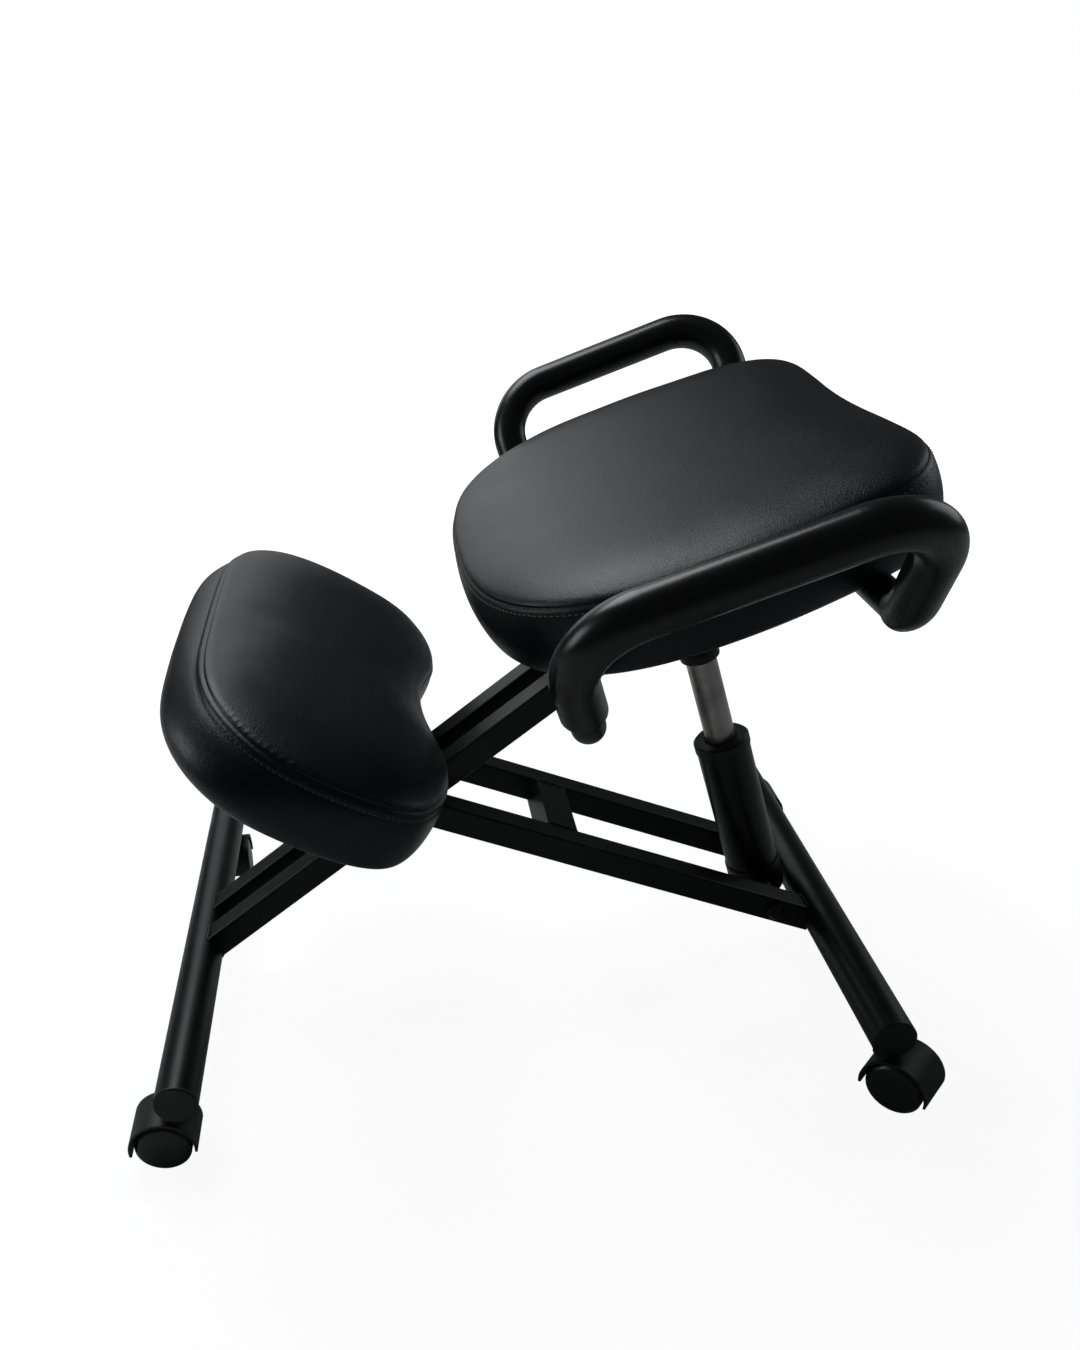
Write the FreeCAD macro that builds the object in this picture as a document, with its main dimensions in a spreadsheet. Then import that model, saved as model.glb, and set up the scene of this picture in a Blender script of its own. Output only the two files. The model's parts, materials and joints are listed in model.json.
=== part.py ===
import FreeCAD, Part
import math
import os
import Sketcher

# Kneeling chair with two crossed pairs of square bars, a gas lift, a padded seat with
# two foam-covered handles, a padded knee rest and four twin-wheel casters.
# Frame of the part: X across (the user's side to side), Y from the knee rest (front, -Y)
# to the seat (rear, +Y), Z up. The origin lies on the floor midway between the floor tubes.

Vector = FreeCAD.Vector
Rotation = FreeCAD.Rotation
Placement = FreeCAD.Placement

SIZES = (
    # Floor tubes, end caps and their places
    ("tube_dia", 38.0), ("tube_wall", 1.6), ("tube_length", 486.0), ("tube_height", 73.3),
    ("tube_spacing", 603.8), ("cap_face", 3.0), ("cap_plug", 8.0), ("cap_lip", 1.2),
    # Square bars and the pivot where the two pairs cross
    ("bar_width", 25.0), ("bar_wall", 1.6), ("bar_round", 2.0), ("fold_y", -77.6),
    ("fold_z", 229.4), ("upper_pitch", 35.28), ("lower_pitch", -23.53),
    ("upper_offset", 26.7), ("lower_offset", 53.5), ("upper_reach", 332.0),
    ("lower_front", 205.0), ("lower_rear_gap", 8.0), ("cross_y", 138.5),
    ("cross_width", 30.0), ("bolt_dia", 10.0), ("bolt_head", 17.0), ("bolt_head_high", 6.0),
    ("nut_flats", 17.0), ("nut_high", 9.0), ("running_fit", 0.05),
    # Gas lift between the lower bars' pivot and the upper bars' pivot
    ("lift_low_reach", 361.7), ("lift_top_reach", 300.2), ("lift_dia", 50.0),
    ("lift_wall", 2.0), ("lift_top", 165.0), ("sleeve_dia", 52.4), ("sleeve_top", 20.0),
    ("sleeve_floor", 7.0), ("sleeve_bottom", 17.0), ("sleeve_round", 8.0),
    ("collar_dia", 52.0), ("collar_high", 10.0), ("collar_plug", 14.0),
    ("cylinder_dia", 28.0), ("cylinder_wall", 2.0), ("cylinder_bottom", 85.0),
    ("cylinder_top", 285.0), ("piston_rod_dia", 10.0), ("piston_top", 150.0),
    ("piston_high", 10.0), ("guide_fit", 0.1), ("socket_dia", 33.0),
    ("socket_bottom", 251.0), ("socket_top", 302.0), ("tongue_width", 23.0),
    ("tongue_deep", 25.0), ("eye_dia", 13.0), ("lift_bolt_dia", 8.0),
    ("lift_bolt_head", 14.0), ("spacer_dia", 18.0),
    # Release lever and pin in the socket
    ("lever_level", 293.0), ("lever_thick", 5.0), ("lever_wide", 12.0),
    ("lever_reach", 215.0), ("lever_pivot", 11.0), ("lever_pin_dia", 3.0),
    ("lever_slot_low", 5.5), ("lever_slot_high", 6.0), ("knob_long", 62.0),
    ("knob_wide", 19.0), ("knob_thick", 10.0), ("pin_dia", 6.0), ("pin_long", 15.0),
    # Seat: pitch, outline, cushion and board
    ("seat_z", 457.2), ("seat_pitch", 16.46), ("seat_half", 238.0), ("seat_front", -30.5),
    ("seat_rear", 318.0), ("boxing", 60.0), ("seat_crown", 13.0), ("boxing_bulge", 3.5),
    ("seam_pinch", 2.2), ("board_thick", 12.0), ("board_inset", 13.0),
    ("plate_thick", 3.0), ("plate_half", 55.0), ("bracket_bolt_reach", 225.0),
    ("board_screw_dia", 6.0), ("board_screw_head", 12.0), ("board_screw_bite", 8.0),
    # Handles in the seat's own frame
    ("handle_dia", 25.0), ("handle_wall", 1.5), ("grip_dia", 33.4), ("handle_x", 324.0),
    ("handle_top", 28.0), ("handle_front_y", 25.0), ("handle_rear_y", 272.0),
    ("handle_foot_x", 262.0), ("handle_foot_rear_x", 250.0), ("handle_foot_rear_y", 250.0),
    ("handle_end_x", 75.0), ("handle_bend", 52.0), ("handle_foot_bend", 44.0),
    ("handle_left_back", 27.0), ("grip_end", 44.0), ("grip_bend_share", 0.6),
    # Knee rest: its own pitch and outline
    ("knee_y", -145.0), ("knee_z", 355.3), ("knee_pitch", -32.4), ("knee_half", 231.0),
    ("knee_crown", 13.0), ("knee_bulge", 6.0), ("wedge_wall", 3.0), ("wedge_near", 34.0),
    ("wedge_far", 200.0),
    # Casters
    ("stem_x", 226.0), ("stem_dia", 10.0), ("stem_bush", 14.0), ("stem_bite", 10.0),
    ("wheel_dia", 49.0), ("wheel_wide", 14.0), ("wheel_round", 3.5), ("wheel_gap", 0.4),
    ("web_thick", 12.0), ("trail", 19.2), ("hood_dia", 58.8), ("hood_wall", 2.2),
    ("hood_wide", 42.0), ("hood_drop", 4.0), ("hood_boss", 16.0), ("axle_dia", 6.0),
    ("axle_long", 30.0), ("seat_gap", 0.3),
)

document = FreeCAD.newDocument("kneeling_chair")
sheet = document.addObject("Spreadsheet::Sheet", "sizes")
for row, (alias, number) in enumerate(SIZES, start=1):
    sheet.set("A%d" % row, alias)
    sheet.set("B%d" % row, repr(number))
    sheet.setAlias("B%d" % row, alias)
document.recompute()
sub_parts = []


class Size:
    """A length or angle: its value now and its formula in terms of the sheet."""

    def __init__(self, value, text):
        self.value = float(value)
        self.text = text

    def __float__(self):
        return self.value

    def __add__(self, other):
        other = size(other)
        return Size(self.value + other.value, "(%s + %s)" % (self.text, other.text))

    def __sub__(self, other):
        other = size(other)
        return Size(self.value - other.value, "(%s - %s)" % (self.text, other.text))

    def __mul__(self, other):
        other = size(other)
        return Size(self.value * other.value, "(%s * %s)" % (self.text, other.text))

    def __truediv__(self, other):
        other = size(other)
        return Size(self.value / other.value, "(%s / %s)" % (self.text, other.text))

    def __neg__(self):
        return Size(-self.value, "(0 - %s)" % self.text)

    def __radd__(self, other):
        return size(other) + self

    def __rsub__(self, other):
        return size(other) - self

    def __rmul__(self, other):
        return size(other) * self


def size(thing):
    """A plain number or a size, as a size."""
    if isinstance(thing, Size):
        return thing
    return Size(thing, "(%.6f)" % thing)


def root(thing):
    thing = size(thing)
    return Size(math.sqrt(thing.value), "sqrt(%s)" % thing.text)


def cosine(angle):
    angle = size(angle)
    return Size(math.cos(math.radians(angle.value)), "cos(%s)" % angle.text)


def sine(angle):
    angle = size(angle)
    return Size(math.sin(math.radians(angle.value)), "sin(%s)" % angle.text)


class Sheet:
    """The sheet's sizes by name."""

    def __getattr__(self, alias):
        return Size(getattr(sheet, alias), "sizes." + alias)


d = Sheet()
ZERO = Vector(0, 0, 0)
IDENTITY = Placement()


def keep(thing, label, placement=IDENTITY):
    """Name a finished sub-part, place it and list it for export."""
    thing.Label = label
    thing.Placement = placement
    sub_parts.append(thing)
    return thing


def new_body(name):
    return document.addObject("PartDesign::Body", name)


def new_sketch(body, plane_role, name, lift=None):
    """A sketch flat on one of the body's own origin planes, or lifted off it."""
    plane = [f for f in body.Origin.OriginFeatures if f.Role == plane_role][0]
    sketch = body.newObject("Sketcher::SketchObject", name)
    sketch.AttachmentSupport = [(plane, "")]
    sketch.MapMode = "FlatFace"
    if lift is not None:
        lift = size(lift)
        sketch.AttachmentOffset = Placement(Vector(0, 0, lift.value), Rotation())
        sketch.setExpression("AttachmentOffset.Base.z", lift.text)
    return sketch


def bind(thing, prop, amount):
    """Set a property and tie it to the sheet."""
    amount = size(amount)
    setattr(thing, prop, amount.value)
    thing.setExpression(prop, amount.text)


def constrain(sketch, kind, *where, amount):
    """Add one driving dimension to a sketch, tied to the sheet."""
    amount = size(amount)
    index = sketch.addConstraint(Sketcher.Constraint(kind, *where, amount.value))
    sketch.setExpression("Constraints[%d]" % index, amount.text)


def draw_circle(sketch, across, up, radius):
    """A circle fixed by its centre and radius."""
    centre = Vector(float(across), float(up), 0)
    edge = sketch.addGeometry(Part.Circle(centre, Vector(0, 0, 1), float(radius)), False)
    constrain(sketch, "Radius", edge, amount=radius)
    constrain(sketch, "DistanceX", -1, 1, edge, 3, amount=across)
    constrain(sketch, "DistanceY", -1, 1, edge, 3, amount=up)


def draw_polygon(sketch, corners):
    """A closed outline of straight lines, fixed corner by corner."""
    count = len(corners)
    first = sketch.GeometryCount
    for index in range(count):
        start = corners[index]
        end = corners[(index + 1) % count]
        line = Part.LineSegment(
            Vector(float(start[0]), float(start[1]), 0), Vector(float(end[0]), float(end[1]), 0)
        )
        sketch.addGeometry(line, False)
    for index in range(count):
        follower = first + (index + 1) % count
        sketch.addConstraint(Sketcher.Constraint("Coincident", first + index, 2, follower, 1))
    for index, (across, up) in enumerate(corners):
        constrain(sketch, "DistanceX", -1, 1, first + index, 1, amount=across)
        constrain(sketch, "DistanceY", -1, 1, first + index, 1, amount=up)


def draw_rectangle(sketch, left, right, low, high):
    draw_polygon(sketch, [(left, low), (right, low), (right, high), (left, high)])


def pad(body, sketch, length, second=None, symmetric=False, flipped=False):
    """Raise a sketch into a solid, to one side, to both, or evenly about its plane."""
    feature = body.newObject("PartDesign::Pad", sketch.Name + "_pad")
    feature.Profile = sketch
    if symmetric:
        feature.SideType = "Symmetric"
    elif second is not None:
        feature.SideType = "Two sides"
        bind(feature, "Length2", second)
    feature.Reversed = flipped
    bind(feature, "Length", length)
    return feature


def pocket(body, sketch, length=None, second=None, symmetric=False, flipped=False):
    """Cut a sketch out of the solid; without a length it runs right through both ways."""
    feature = body.newObject("PartDesign::Pocket", sketch.Name + "_cut")
    feature.Profile = sketch
    feature.Reversed = flipped
    if length is None:
        feature.Type = "ThroughAll"
        if symmetric:
            feature.SideType = "Symmetric"
        elif second is not None:
            feature.SideType = "Two sides"
            bind(feature, "Length2", second)
        return feature
    if symmetric:
        feature.SideType = "Symmetric"
    elif second is not None:
        feature.SideType = "Two sides"
        bind(feature, "Length2", second)
    bind(feature, "Length", length)
    return feature


def revolve(body, plane_role, name, corners, axis):
    """Turn a closed outline a full turn about one of the sketch's own axes."""
    sketch = new_sketch(body, plane_role, name)
    draw_polygon(sketch, corners)
    feature = body.newObject("PartDesign::Revolution", name + "_turn")
    feature.Profile = sketch
    feature.ReferenceAxis = (sketch, [axis])
    feature.Angle = 360.0
    return feature


def round_edges(body, base, radius, wanted):
    """Fillet those edges of the last feature that the test accepts."""
    document.recompute()
    names = ["Edge%d" % (i + 1) for i, edge in enumerate(base.Shape.Edges) if wanted(edge)]
    feature = body.newObject("PartDesign::Fillet", base.Name + "_round")
    feature.Base = (base, names)
    bind(feature, "Radius", radius)
    return feature


def along(direction):
    """A test for straight edges that run in one direction."""

    def wanted(edge):
        if edge.Curve.TypeId != "Part::GeomLine":
            return False
        return edge.tangentAt(edge.FirstParameter).cross(direction).Length < 1e-4

    return wanted


def ring_edges(radius, coordinate, level, tolerance=0.01):
    """A test for full circles of one radius at one level along X (0) or Z (2)."""

    def wanted(edge):
        if edge.Curve.TypeId != "Part::GeomCircle":
            return False
        close = abs(edge.Curve.Radius - float(radius)) < tolerance
        return close and abs(edge.Curve.Center[coordinate] - float(level)) < tolerance

    return wanted


def group(label, members, placement=IDENTITY):
    """Identical fasteners as one sub-part of separate solids."""
    compound = document.addObject("Part::Compound", label)
    compound.Links = members
    return keep(compound, label, placement)


def tilt(pitch):
    return Rotation(Vector(1, 0, 0), float(pitch))


def across_pin(name, radius, left, right, head=None, head_high=None, nut=None, nut_high=None):
    """A bolt along X: shank, domed head beyond the right end, hexagon nut beyond the left."""
    body = new_body(name)
    sketch = new_sketch(body, "YZ_Plane", name + "_shank")
    draw_circle(sketch, 0.0, 0.0, radius)
    pad(body, sketch, right, second=-left)
    if head is not None:
        half = head / 2
        revolve(
            body, "XY_Plane", name + "_head",
            [(right, 0.0), (right, half), (right + head_high * 0.45, half),
             (right + head_high, half * 0.62), (right + head_high, 0.0)],
            "H_Axis",
        )
    if nut is not None:
        corner = nut / (2 * cosine(30.0))
        hexagon = [(corner * cosine(60.0 * i), corner * sine(60.0 * i)) for i in range(6)]
        sketch = new_sketch(body, "YZ_Plane", name + "_nut", left)
        draw_polygon(sketch, hexagon)
        pad(body, sketch, nut_high, flipped=True)
    return body


# Places worked out from the sheet: the pivots, the lift's own direction and the frames
# that the bars, the lift, the seat and the knee rest are drawn in.
half_width = d.bar_width / 2
tube_radius = d.tube_dia / 2
axle_half = d.tube_spacing / 2
fold_at = Vector(0, float(d.fold_y), float(d.fold_z))
upper_frame = Placement(fold_at, tilt(d.upper_pitch))
lower_frame = Placement(fold_at, tilt(d.lower_pitch))
lift_low_at = lower_frame.multVec(Vector(0, float(d.lift_low_reach), 0))
lift_top_at = upper_frame.multVec(Vector(0, float(d.lift_top_reach), 0))
lift_line = lift_top_at - lift_low_at
lift_long = Size(
    lift_line.Length,
    "sqrt(pow(sizes.lift_low_reach; 2) + pow(sizes.lift_top_reach; 2)"
    " - 2 * sizes.lift_low_reach * sizes.lift_top_reach"
    " * cos(sizes.upper_pitch - sizes.lower_pitch))",
)
lift_pitch = math.degrees(math.atan2(lift_line.z, lift_line.y)) - 90.0
lift_frame = Placement(lift_low_at, tilt(lift_pitch))
seat_frame = Placement(Vector(0, 0, float(d.seat_z)), tilt(d.seat_pitch))
knee_frame = Placement(Vector(0, float(d.knee_y), float(d.knee_z)), tilt(d.knee_pitch))
seat_under = seat_frame.multiply(Placement(Vector(0, 0, -float(d.boxing)), Rotation()))
knee_under = knee_frame.multiply(Placement(Vector(0, 0, -float(d.boxing)), Rotation()))


def local(frame_y, frame_z, pitch, y, z):
    """A point of the YZ plane in a frame tilted about X, as sizes."""
    run = y - frame_y
    rise = z - frame_z
    return cosine(pitch) * run + sine(pitch) * rise, cosine(pitch) * rise - sine(pitch) * run


# Floor tubes: round tube with a welded bush for each caster stem and a plug in each end.
def floor_tube(label, place_y):
    body = new_body(label)
    ring = new_sketch(body, "YZ_Plane", label + "_ring")
    draw_circle(ring, 0.0, 0.0, tube_radius)
    draw_circle(ring, 0.0, 0.0, tube_radius - d.tube_wall)
    pad(body, ring, d.tube_length, symmetric=True)
    bush_radius = d.stem_bush / 2
    bush_half = root(tube_radius * tube_radius - bush_radius * bush_radius) - 0.1
    bushes = new_sketch(body, "XY_Plane", label + "_bushes")
    for side in (-1.0, 1.0):
        draw_circle(bushes, d.stem_x * side, 0.0, bush_radius)
    pad(body, bushes, bush_half * 2, symmetric=True)
    bores = new_sketch(body, "XY_Plane", label + "_bores")
    for side in (-1.0, 1.0):
        draw_circle(bores, d.stem_x * side, 0.0, d.stem_dia / 2 + d.running_fit)
    pocket(body, bores, second=d.stem_bite + 0.3)
    return keep(body, label, Placement(Vector(0, place_y, float(d.tube_height)), Rotation()))


def end_cap(name, side, place_y):
    body = new_body(name)
    inner = tube_radius - d.tube_wall
    revolve(
        body, "XY_Plane", name + "_outline",
        [(0.0, 0.0), (d.cap_face, 0.0), (d.cap_face, tube_radius - d.cap_lip),
         (d.cap_face - d.cap_lip, tube_radius), (0.0, tube_radius), (0.0, inner),
         (-d.cap_plug, inner), (-d.cap_plug, inner - 2.0), (-2.0, inner - 2.0), (-2.0, 0.0)],
        "H_Axis",
    )
    turn = Rotation(Vector(0, 0, 1), 0 if side > 0 else 180)
    at = Vector(side * float(d.tube_length) / 2, place_y, float(d.tube_height))
    body.Placement = Placement(at, turn)
    return body


front_y = -float(axle_half)
rear_y = float(axle_half)
floor_tube("front_floor_tube", front_y)
floor_tube("rear_floor_tube", rear_y)
for label, place_y in (("front_tube_caps", front_y), ("rear_tube_caps", rear_y)):
    group(label, [end_cap("%s_%d" % (label, i), side, place_y) for i, side in enumerate((-1, 1))])


# Square bars: drawn along their own Y from the fold pivot, coped to the floor tube.
def square_bar(label, offset, ahead, behind, tube_at, bores, frame):
    body = new_body(label)
    section = new_sketch(body, "XZ_Plane", label + "_section")
    wall = d.bar_wall
    draw_rectangle(section, offset - half_width, offset + half_width, -half_width, half_width)
    draw_rectangle(
        section, offset - half_width + wall, offset + half_width - wall,
        wall - half_width, half_width - wall,
    )
    bar = pad(body, section, behind, second=ahead, flipped=True)
    document.recompute()
    outer = float(half_width) - 0.01

    def outer_corner(edge):
        point = edge.Vertexes[0].Point
        high = abs(point.z) > outer and abs(point.x - float(offset)) > outer
        return high and along(Vector(0, 1, 0))(edge)

    round_edges(body, bar, d.bar_round, outer_corner)
    cope = new_sketch(body, "YZ_Plane", label + "_cope")
    draw_circle(cope, tube_at[0], tube_at[1], tube_radius)
    pocket(body, cope, symmetric=True)
    for number, (reach, radius) in enumerate(bores):
        bore = new_sketch(body, "YZ_Plane", "%s_bore_%d" % (label, number))
        draw_circle(bore, reach, 0.0, radius)
        pocket(body, bore, symmetric=True)
    return keep(body, label, frame)


front_tube_at = local(d.fold_y, d.fold_z, d.upper_pitch, -axle_half, d.tube_height)
rear_tube_at = local(d.fold_y, d.fold_z, d.lower_pitch, axle_half, d.tube_height)
fold_radius = d.bolt_dia / 2
lift_bolt_radius = d.lift_bolt_dia / 2
for name, side in (("left", -1.0), ("right", 1.0)):
    square_bar(
        "upper_bar_" + name, d.upper_offset * side, -front_tube_at[0], d.upper_reach,
        front_tube_at,
        [(0.0, fold_radius), (d.bracket_bolt_reach, lift_bolt_radius),
         (d.lift_top_reach, lift_bolt_radius)],
        upper_frame,
    )
    square_bar(
        "lower_bar_" + name, d.lower_offset * side, d.lower_front,
        rear_tube_at[0] - d.lower_rear_gap, rear_tube_at,
        [(0.0, fold_radius + d.running_fit), (d.lift_low_reach, fold_radius)],
        lower_frame,
    )

# Cross tube between the lower bars, flush with their tops.
inner_lower = d.lower_offset - half_width
body = new_body("lower_cross_tube")
section = new_sketch(body, "YZ_Plane", "cross_section")
cross_low = d.cross_y - d.cross_width / 2
cross_high = d.cross_y + d.cross_width / 2
draw_rectangle(section, cross_low, cross_high, -half_width, half_width)
draw_rectangle(
    section, cross_low + d.bar_wall, cross_high - d.bar_wall,
    d.bar_wall - half_width, half_width - d.bar_wall,
)
pad(body, section, inner_lower * 2, symmetric=True)
keep(body, "lower_cross_tube", lower_frame)


def ring(name, inner, outer, start, length):
    """A washer, bush or spacer tube about X."""
    body = new_body(name)
    revolve(
        body, "XY_Plane", name + "_outline",
        [(start, inner), (start + length, inner), (start + length, outer), (start, outer)],
        "H_Axis",
    )
    return body


# Fold pivot: one long bolt through both pairs of bars, with washers and a centre spacer.
outer_lower = d.lower_offset + half_width
outer_upper = d.upper_offset + half_width
inner_upper = d.upper_offset - half_width
bolt_end = outer_lower + d.seat_gap
body = across_pin(
    "fold_bolt", fold_radius, -bolt_end, bolt_end,
    d.bolt_head, d.bolt_head_high, d.nut_flats, d.nut_high,
)
keep(body, "fold_bolt", upper_frame)
gap_wide = inner_lower - outer_upper - d.seat_gap
group(
    "fold_washers",
    [ring("fold_washer_left", fold_radius, d.spacer_dia / 2, -outer_upper - gap_wide, gap_wide),
     ring("fold_washer_right", fold_radius, d.spacer_dia / 2, outer_upper, gap_wide)],
    upper_frame,
)
keep(ring("fold_spacer", fold_radius, d.spacer_dia / 2, -inner_upper, inner_upper * 2),
     "fold_spacer", upper_frame)

# Lift foot: bolt through the lower bars, with a spacer on each side of the sleeve.
body = across_pin(
    "lift_foot_bolt", fold_radius, -outer_lower, outer_lower,
    d.bolt_head, d.bolt_head_high, d.nut_flats, d.nut_high,
)
keep(body, "lift_foot_bolt", Placement(lift_low_at, tilt(d.lower_pitch)))
spacer_start = d.sleeve_dia / 2 + d.seat_gap
spacer_long = inner_lower - spacer_start
group(
    "lift_foot_spacers",
    [ring("foot_spacer_left", fold_radius, d.spacer_dia / 2, -inner_lower, spacer_long),
     ring("foot_spacer_right", fold_radius, d.spacer_dia / 2, spacer_start, spacer_long)],
    Placement(lift_low_at, tilt(d.lower_pitch)),
)

# Gas lift, drawn about its own Z from the foot bolt: sleeve, outer tube, guide collar,
# piston rod, sliding cylinder and the moulded socket on its top.
sleeve_radius = d.sleeve_dia / 2
lift_radius = d.lift_dia / 2
cylinder_radius = d.cylinder_dia / 2
body = new_body("lift_sleeve")
turned = revolve(
    body, "XZ_Plane", "sleeve_outline",
    [(0.0, -d.sleeve_bottom), (sleeve_radius, -d.sleeve_bottom), (sleeve_radius, d.sleeve_top),
     (lift_radius, d.sleeve_top), (lift_radius, d.sleeve_floor), (0.0, d.sleeve_floor)],
    "V_Axis",
)
round_edges(body, turned, d.sleeve_round, ring_edges(sleeve_radius, 2, -d.sleeve_bottom))
bore = new_sketch(body, "YZ_Plane", "sleeve_bore")
draw_circle(bore, 0.0, 0.0, fold_radius + d.running_fit)
pocket(body, bore, symmetric=True)
keep(body, "lift_sleeve", lift_frame)

tube_top = d.lift_top - d.collar_high
tube_bore = lift_radius - d.lift_wall
body = new_body("lift_outer_tube")
revolve(
    body, "XZ_Plane", "outer_tube_outline",
    [(tube_bore, d.sleeve_floor), (lift_radius, d.sleeve_floor), (lift_radius, tube_top),
     (tube_bore, tube_top)],
    "V_Axis",
)
keep(body, "lift_outer_tube", lift_frame)

collar_bore = cylinder_radius + d.guide_fit
body = new_body("lift_guide_collar")
revolve(
    body, "XZ_Plane", "collar_outline",
    [(collar_bore, tube_top - d.collar_plug), (tube_bore, tube_top - d.collar_plug),
     (tube_bore, tube_top), (d.collar_dia / 2, tube_top),
     (d.collar_dia / 2, d.lift_top - 2.0), (d.collar_dia / 2 - 2.0, d.lift_top),
     (collar_bore + 1.5, d.lift_top), (collar_bore, d.lift_top - 1.5)],
    "V_Axis",
)
keep(body, "lift_guide_collar", lift_frame)

rod_radius = d.piston_rod_dia / 2
piston_radius = cylinder_radius - d.cylinder_wall - 0.2
body = new_body("lift_piston_rod")
revolve(
    body, "XZ_Plane", "piston_outline",
    [(0.0, d.sleeve_floor), (rod_radius * 2, d.sleeve_floor),
     (rod_radius * 2, d.sleeve_floor + 8.0), (rod_radius, d.sleeve_floor + 8.0),
     (rod_radius, d.piston_top), (piston_radius, d.piston_top),
     (piston_radius, d.piston_top + d.piston_high), (0.0, d.piston_top + d.piston_high)],
    "V_Axis",
)
keep(body, "lift_piston_rod", lift_frame)

cylinder_bore = cylinder_radius - d.cylinder_wall
pin_radius = d.pin_dia / 2
pin_top = d.lever_level - d.lever_thick / 2 - d.seat_gap
pin_bottom = pin_top - d.pin_long
body = new_body("lift_cylinder")
revolve(
    body, "XZ_Plane", "cylinder_outline",
    [(rod_radius + 0.2, d.cylinder_bottom), (cylinder_radius, d.cylinder_bottom),
     (cylinder_radius, d.cylinder_top), (pin_radius + d.running_fit, d.cylinder_top),
     (pin_radius + d.running_fit, d.cylinder_top - 6.0),
     (cylinder_bore, d.cylinder_top - 6.0), (cylinder_bore, d.cylinder_bottom + 6.0),
     (rod_radius + 0.2, d.cylinder_bottom + 6.0)],
    "V_Axis",
)
keep(body, "lift_cylinder", lift_frame)

# Moulded socket: a rounded lip round the cylinder, a slot for the lever and the tongue
# that carries the eye between the upper bars.
socket_radius = d.socket_dia / 2
slot_floor = d.lever_level - d.lever_slot_low
slot_roof = d.lever_level + d.lever_slot_high
body = new_body("lift_socket")
turned = revolve(
    body, "XZ_Plane", "socket_outline",
    [(cylinder_radius, d.socket_bottom), (socket_radius + 1.5, d.socket_bottom),
     (socket_radius + 1.5, d.socket_bottom + 9.0), (socket_radius, d.socket_bottom + 13.0),
     (socket_radius, d.socket_top), (0.0, d.socket_top), (0.0, d.cylinder_top),
     (cylinder_radius, d.cylinder_top)],
    "V_Axis",
)
round_edges(body, turned, 2.4, ring_edges(socket_radius + 1.5, 2, d.socket_bottom))
half_deep = d.tongue_deep / 2
tongue = new_sketch(body, "YZ_Plane", "tongue_side")
draw_rectangle(tongue, -half_deep, half_deep, d.socket_top - 2.0, lift_long)
pad(body, tongue, d.tongue_width, symmetric=True)
crown = new_sketch(body, "YZ_Plane", "tongue_crown")
draw_circle(crown, 0.0, lift_long, half_deep)
pad(body, crown, d.tongue_width, symmetric=True)
eye = new_sketch(body, "YZ_Plane", "tongue_eye")
draw_circle(eye, 0.0, lift_long, d.eye_dia / 2)
pocket(body, eye, symmetric=True)
slot = new_sketch(body, "YZ_Plane", "lever_slot")
draw_rectangle(slot, -d.lever_wide / 2 - 0.4, d.lever_wide / 2 + 0.4, slot_floor, slot_roof)
pocket(body, slot, socket_radius * 2, second=6.5)
pin_hole = new_sketch(body, "XZ_Plane", "lever_pin_hole")
draw_circle(pin_hole, -d.lever_pivot, d.lever_level, d.lever_pin_dia / 2)
pocket(body, pin_hole, symmetric=True)
release_hole = new_sketch(body, "XY_Plane", "release_hole")
draw_circle(release_hole, 0.0, 0.0, pin_radius + d.running_fit)
pocket(body, release_hole, d.lever_level, flipped=True)
keep(body, "lift_socket", lift_frame)

body = new_body("release_pin")
revolve(
    body, "XZ_Plane", "release_pin_outline",
    [(0.0, pin_bottom), (pin_radius, pin_bottom), (pin_radius, pin_top - 1.0),
     (pin_radius - 1.0, pin_top), (0.0, pin_top)],
    "V_Axis",
)
keep(body, "release_pin", lift_frame)

pin_half = socket_radius * 0.7
body = new_body("lever_pin")
sketch = new_sketch(body, "XZ_Plane", "lever_pin_section")
draw_circle(sketch, -d.lever_pivot, d.lever_level, d.lever_pin_dia / 2)
pad(body, sketch, pin_half * 2, symmetric=True)
keep(body, "lever_pin", lift_frame)

body = new_body("release_lever")
blade = new_sketch(body, "XZ_Plane", "lever_side")
lever_low = d.lever_level - d.lever_thick / 2
lever_high = d.lever_level + d.lever_thick / 2
draw_rectangle(blade, -d.lever_reach, 4.0, lever_low, lever_high)
pad(body, blade, d.lever_wide, symmetric=True)
bore = new_sketch(body, "XZ_Plane", "lever_bore")
draw_circle(bore, -d.lever_pivot, d.lever_level, d.lever_pin_dia / 2 + d.running_fit)
pocket(body, bore, symmetric=True)
keep(body, "release_lever", lift_frame)

# Knob: a flattened paddle moulded over the outer end of the lever.
body = new_body("lever_knob")
knob_end = -d.lever_reach - 7.0
outline = new_sketch(body, "XY_Plane", "knob_plan", d.lever_level - d.knob_thick / 2)
draw_rectangle(outline, knob_end, knob_end + d.knob_long, -d.knob_wide / 2, d.knob_wide / 2)
solid = pad(body, outline, d.knob_thick)
rounded = round_edges(body, solid, 4.5, along(Vector(0, 1, 0)))
rounded = round_edges(body, rounded, 3.0, along(Vector(1, 0, 0)))
seat_slot = new_sketch(body, "YZ_Plane", "knob_slot")
draw_rectangle(seat_slot, -d.lever_wide / 2, d.lever_wide / 2, lever_low, lever_high)
pocket(body, seat_slot, d.lever_reach)
keep(body, "lever_knob", lift_frame)


# Soft pieces: an outline of short tangent arcs, lofted through levels that give the
# board edge, the drawn-in sides, the pinched seam and the crown.
def mirrored(half_outline):
    """Corners for x >= 0 from front to rear, completed for x < 0."""
    right = [(x, y) for x, y in half_outline]
    left = [(-x, y) for x, y in reversed(half_outline)]
    return right + left


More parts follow.
